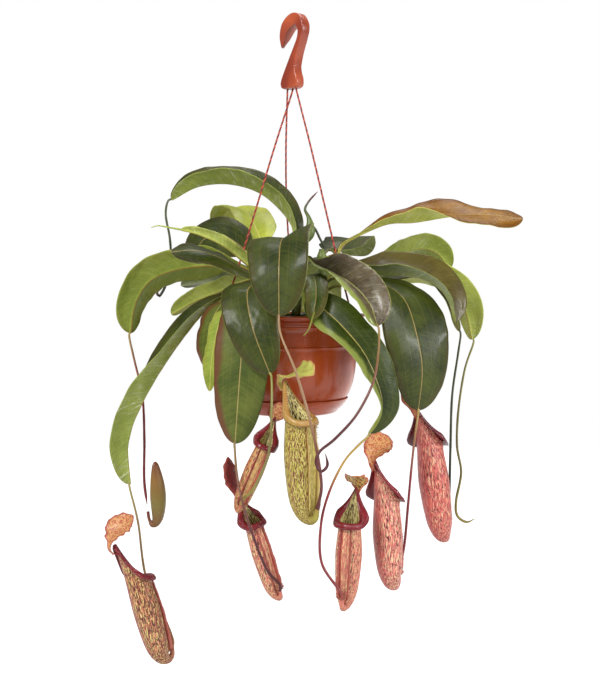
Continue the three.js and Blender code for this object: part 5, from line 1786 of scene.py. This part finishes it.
TENDRILS = (
    Tendril("tendril_arch_high", "leaf_arch_high", "bottle", ((-159, 8, -224), (-155, 14, -251),
            (-155, 20, -275), (-160, 22, -304), (-169, 22, -321), (-172, 20, -313),
            (-169, 20, -305))),
    Tendril("tendril_low_left", "leaf_long_left", "tan", ((-189, -35, -588), (-182, -23, -655),
            (-160, -24, -705)), "pitcher_low_left"),
    Tendril("tendril_left", "leaf_hang_front", "olive", ((-29, -132, -440), (-32, -138, -488),
            (-48, -126, -528)), "pitcher_left"),
    Tendril("tendril_left_low", "leaf_hang_red", "maroon", ((-66, -124, -524), (-54, -136, -566),
            (-36, -118, -620)), "pitcher_left_low"),
    Tendril("tendril_middle", "leaf_front_centre", "middle", ((-18, -138, -362), (-1, -154, -403),
            (16, -158, -464), (25, -150, -517)), "pitcher_middle"),
    Tendril("tendril_right", "leaf_front_right", "straw", ((66, -116, -484), (50, -124, -501),
            (34, -130, -533), (25, -132, -569), (26, -130, -612)), "pitcher_right"),
    Tendril("tendril_right_far", "leaf_right_broad", "crimson", ((132, -88, -476), (129, -76, -518),
            (127, -62, -560), (124, -52, -608)), "pitcher_right_far"),
    Tendril("tendril_far_right", "leaf_right_under", "bottle", ((190, -12, -390), (184, -8, -440),
            (183, -4, -500), (181, -12, -555)), "pitcher_far_right"),
    Tendril("tendril_young", "leaf_big_left", "crimson", ((-195, -16, -395), (-186, -12, -440),
            (-183, -20, -490), (-182, -32, -535), (-178, -38, -565))),
    Tendril("tendril_right_brown", "leaf_right_brown", "maroon", ((88, -122, -379),
            (81, -142, -411), (63, -150, -445), (40, -162, -469), (23, -170, -482),
            (19, -172, -494), (24, -172, -503), (31, -170, -497), (29, -172, -484))),
    Tendril("tendril_right_pale", "leaf_right_pale", "olive", ((203, 22, -411), (195, 16, -459),
            (193, 12, -502), (198, 10, -535), (192, 8, -569), (193, 6, -587), (204, 5, -595),
            (214, 4, -591))),
)


@dataclass
class YoungPitcher:
    """The bud that turns up from its tendril's end, still shut, with its lid folded on it."""

    finishes: Finishes
    line: Steps = ((-177, -39, -573), (-175, -40, -583), (-170, -40, -588), (-165, -40, -578),
                   (-165, -40, -548), (-168, -40, -514))

    def build(self) -> None:
        """Makes the bud."""
        route = Route(self.line)
        u = np.linspace(0, 1, 90)
        heading = route.heading(u)
        side = carried(heading, UP)
        other = np.cross(heading, side)
        angle = angles(40)
        body = np.clip((u - 0.12) / 0.9, 0, 1)
        radius = 1.8 + 7.5 * np.sin(math.pi * body) ** 0.8 - 1.2 * smooth(u, 0.96, 1)
        flat = 1 - 0.25 * smooth(u, 0.4, 0.9)
        ribs = 1 + 0.035 * np.cos(angle * 2)[None] * smooth(u, 0.3, 0.6)[:, None]
        ring = (
            side[:, None] * (np.cos(angle)[None] * radius[:, None] * ribs)[..., None]
            + other[:, None] * (np.sin(angle)[None] * (radius * flat)[:, None] * ribs)[..., None]
        )
        turn = angle / TURN
        span = fields(u[:, None], turn, 0.02)
        metric = fields(u[:, None] * route.length * MM, turn * 50 * MM, 3.0)
        form = Form()
        form.grid(route.at(u)[:, None] + ring, 0, True, span, metric, caps=True)
        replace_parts(form.build("bud_young", [self.finishes("bud")], "bud"), "pitcher_young")


# ------------------------------------------------------------------ studio
@dataclass
class Studio:
    """The camera, the soft lights and the plain pale stage."""

    look_from: tuple[float, float, float] = (0.002, -1.39768, -0.29441)
    look_at: tuple[float, float, float] = (0.002, 0.0, -0.375)
    lens: float = 61.49
    daylight: float = 0.3

    MIDDLE = (0.0, 0.0, -0.4)
    LIGHTS = {
        "key": ((-1.1, -1.5, 0.9), 0.8, 46), "fill": ((1.8, -1.3, 0.2), 0.9, 18),
        "edge": ((1.7, -0.5, 0.1), 0.35, 12), "top": ((0.3, 0.4, 1.3), 0.9, 16),
    }
    FLOOR_HALF, FLOOR_AT = 8.0, -1.7
    GREY = (0.8, 0.8, 0.8, 1)
    WHITE = (1, 1, 1, 1)

    def camera(self) -> None:
        """Sets the camera."""
        data = bpy.data.cameras.new("camera")
        data.lens, data.sensor_width, data.sensor_fit = self.lens, 36, "AUTO"
        bpy.context.scene.camera = aimed("camera", data, self.look_from, self.look_at)

    def _light(self) -> None:
        """Adds the square soft lights."""
        for name, (at, size, power) in self.LIGHTS.items():
            data = bpy.data.lights.new(name, "AREA")
            data.energy, data.size = power, size
            aimed(name, data, at, self.MIDDLE)

    def _floor(self) -> None:
        """Adds the floor, which glows white away from its middle."""
        mesh = bpy.data.meshes.new("floor")
        sides = ((-1, -1), (1, -1), (1, 1), (-1, 1))
        corners = [(x * self.FLOOR_HALF, y * self.FLOOR_HALF, self.FLOOR_AT) for x, y in sides]
        mesh.from_pydata(corners, [], [[0, 1, 2, 3]])
        shader = Shader("pale_floor", Roughness=0.9, Emission_Strength=1.0)
        x, y, _ = shader.parts(shader.here())
        glow = ((x * x + y * y) ** 0.5).step(0.6, 2.6)
        shader.feed(shader.surface, "Base Color", self.GREY)
        shader.feed(shader.surface, "Emission Color", shader.vector(glow, glow, glow))
        mesh.materials.append(shader.material)
        linked("floor", mesh)

    def stage(self) -> None:
        """Makes the floor, the even white surroundings and the lights."""
        world = bpy.data.worlds.new("surroundings")
        world.use_nodes = True
        room = Nodes(world.node_tree)
        seen = room.value("ShaderNodeLightPath", {}, {}, "Is Camera Ray")
        behind = world.node_tree.nodes["Background"]
        room.feed(behind, "Strength", seen * (1 - self.daylight) + self.daylight)
        room.feed(behind, "Color", self.WHITE)
        bpy.context.scene.world = world
        self._floor()
        self._light()
        view = bpy.context.scene.view_settings
        view.view_transform, view.look = "Standard", "None"


def main() -> None:
    """Builds the plant, piece by piece."""
    logging.basicConfig(level=logging.INFO, format="%(message)s")
    finishes = Finishes()
    studio = Studio()
    studio.camera()
    Cords(finishes).build()
    Pot(finishes).build()
    Hook(finishes).build()
    Stem(finishes).build()
    for leaf in LEAVES:
        leaf.build(finishes)
    for pitcher in PITCHERS.values():
        pitcher.build(finishes)
    named = {leaf.node: leaf for leaf in LEAVES}
    for tendril in TENDRILS:
        tendril.build(finishes, named)
    YoungPitcher(finishes).build()
    studio.stage()
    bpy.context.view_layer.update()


if __name__ == "__main__":
    main()
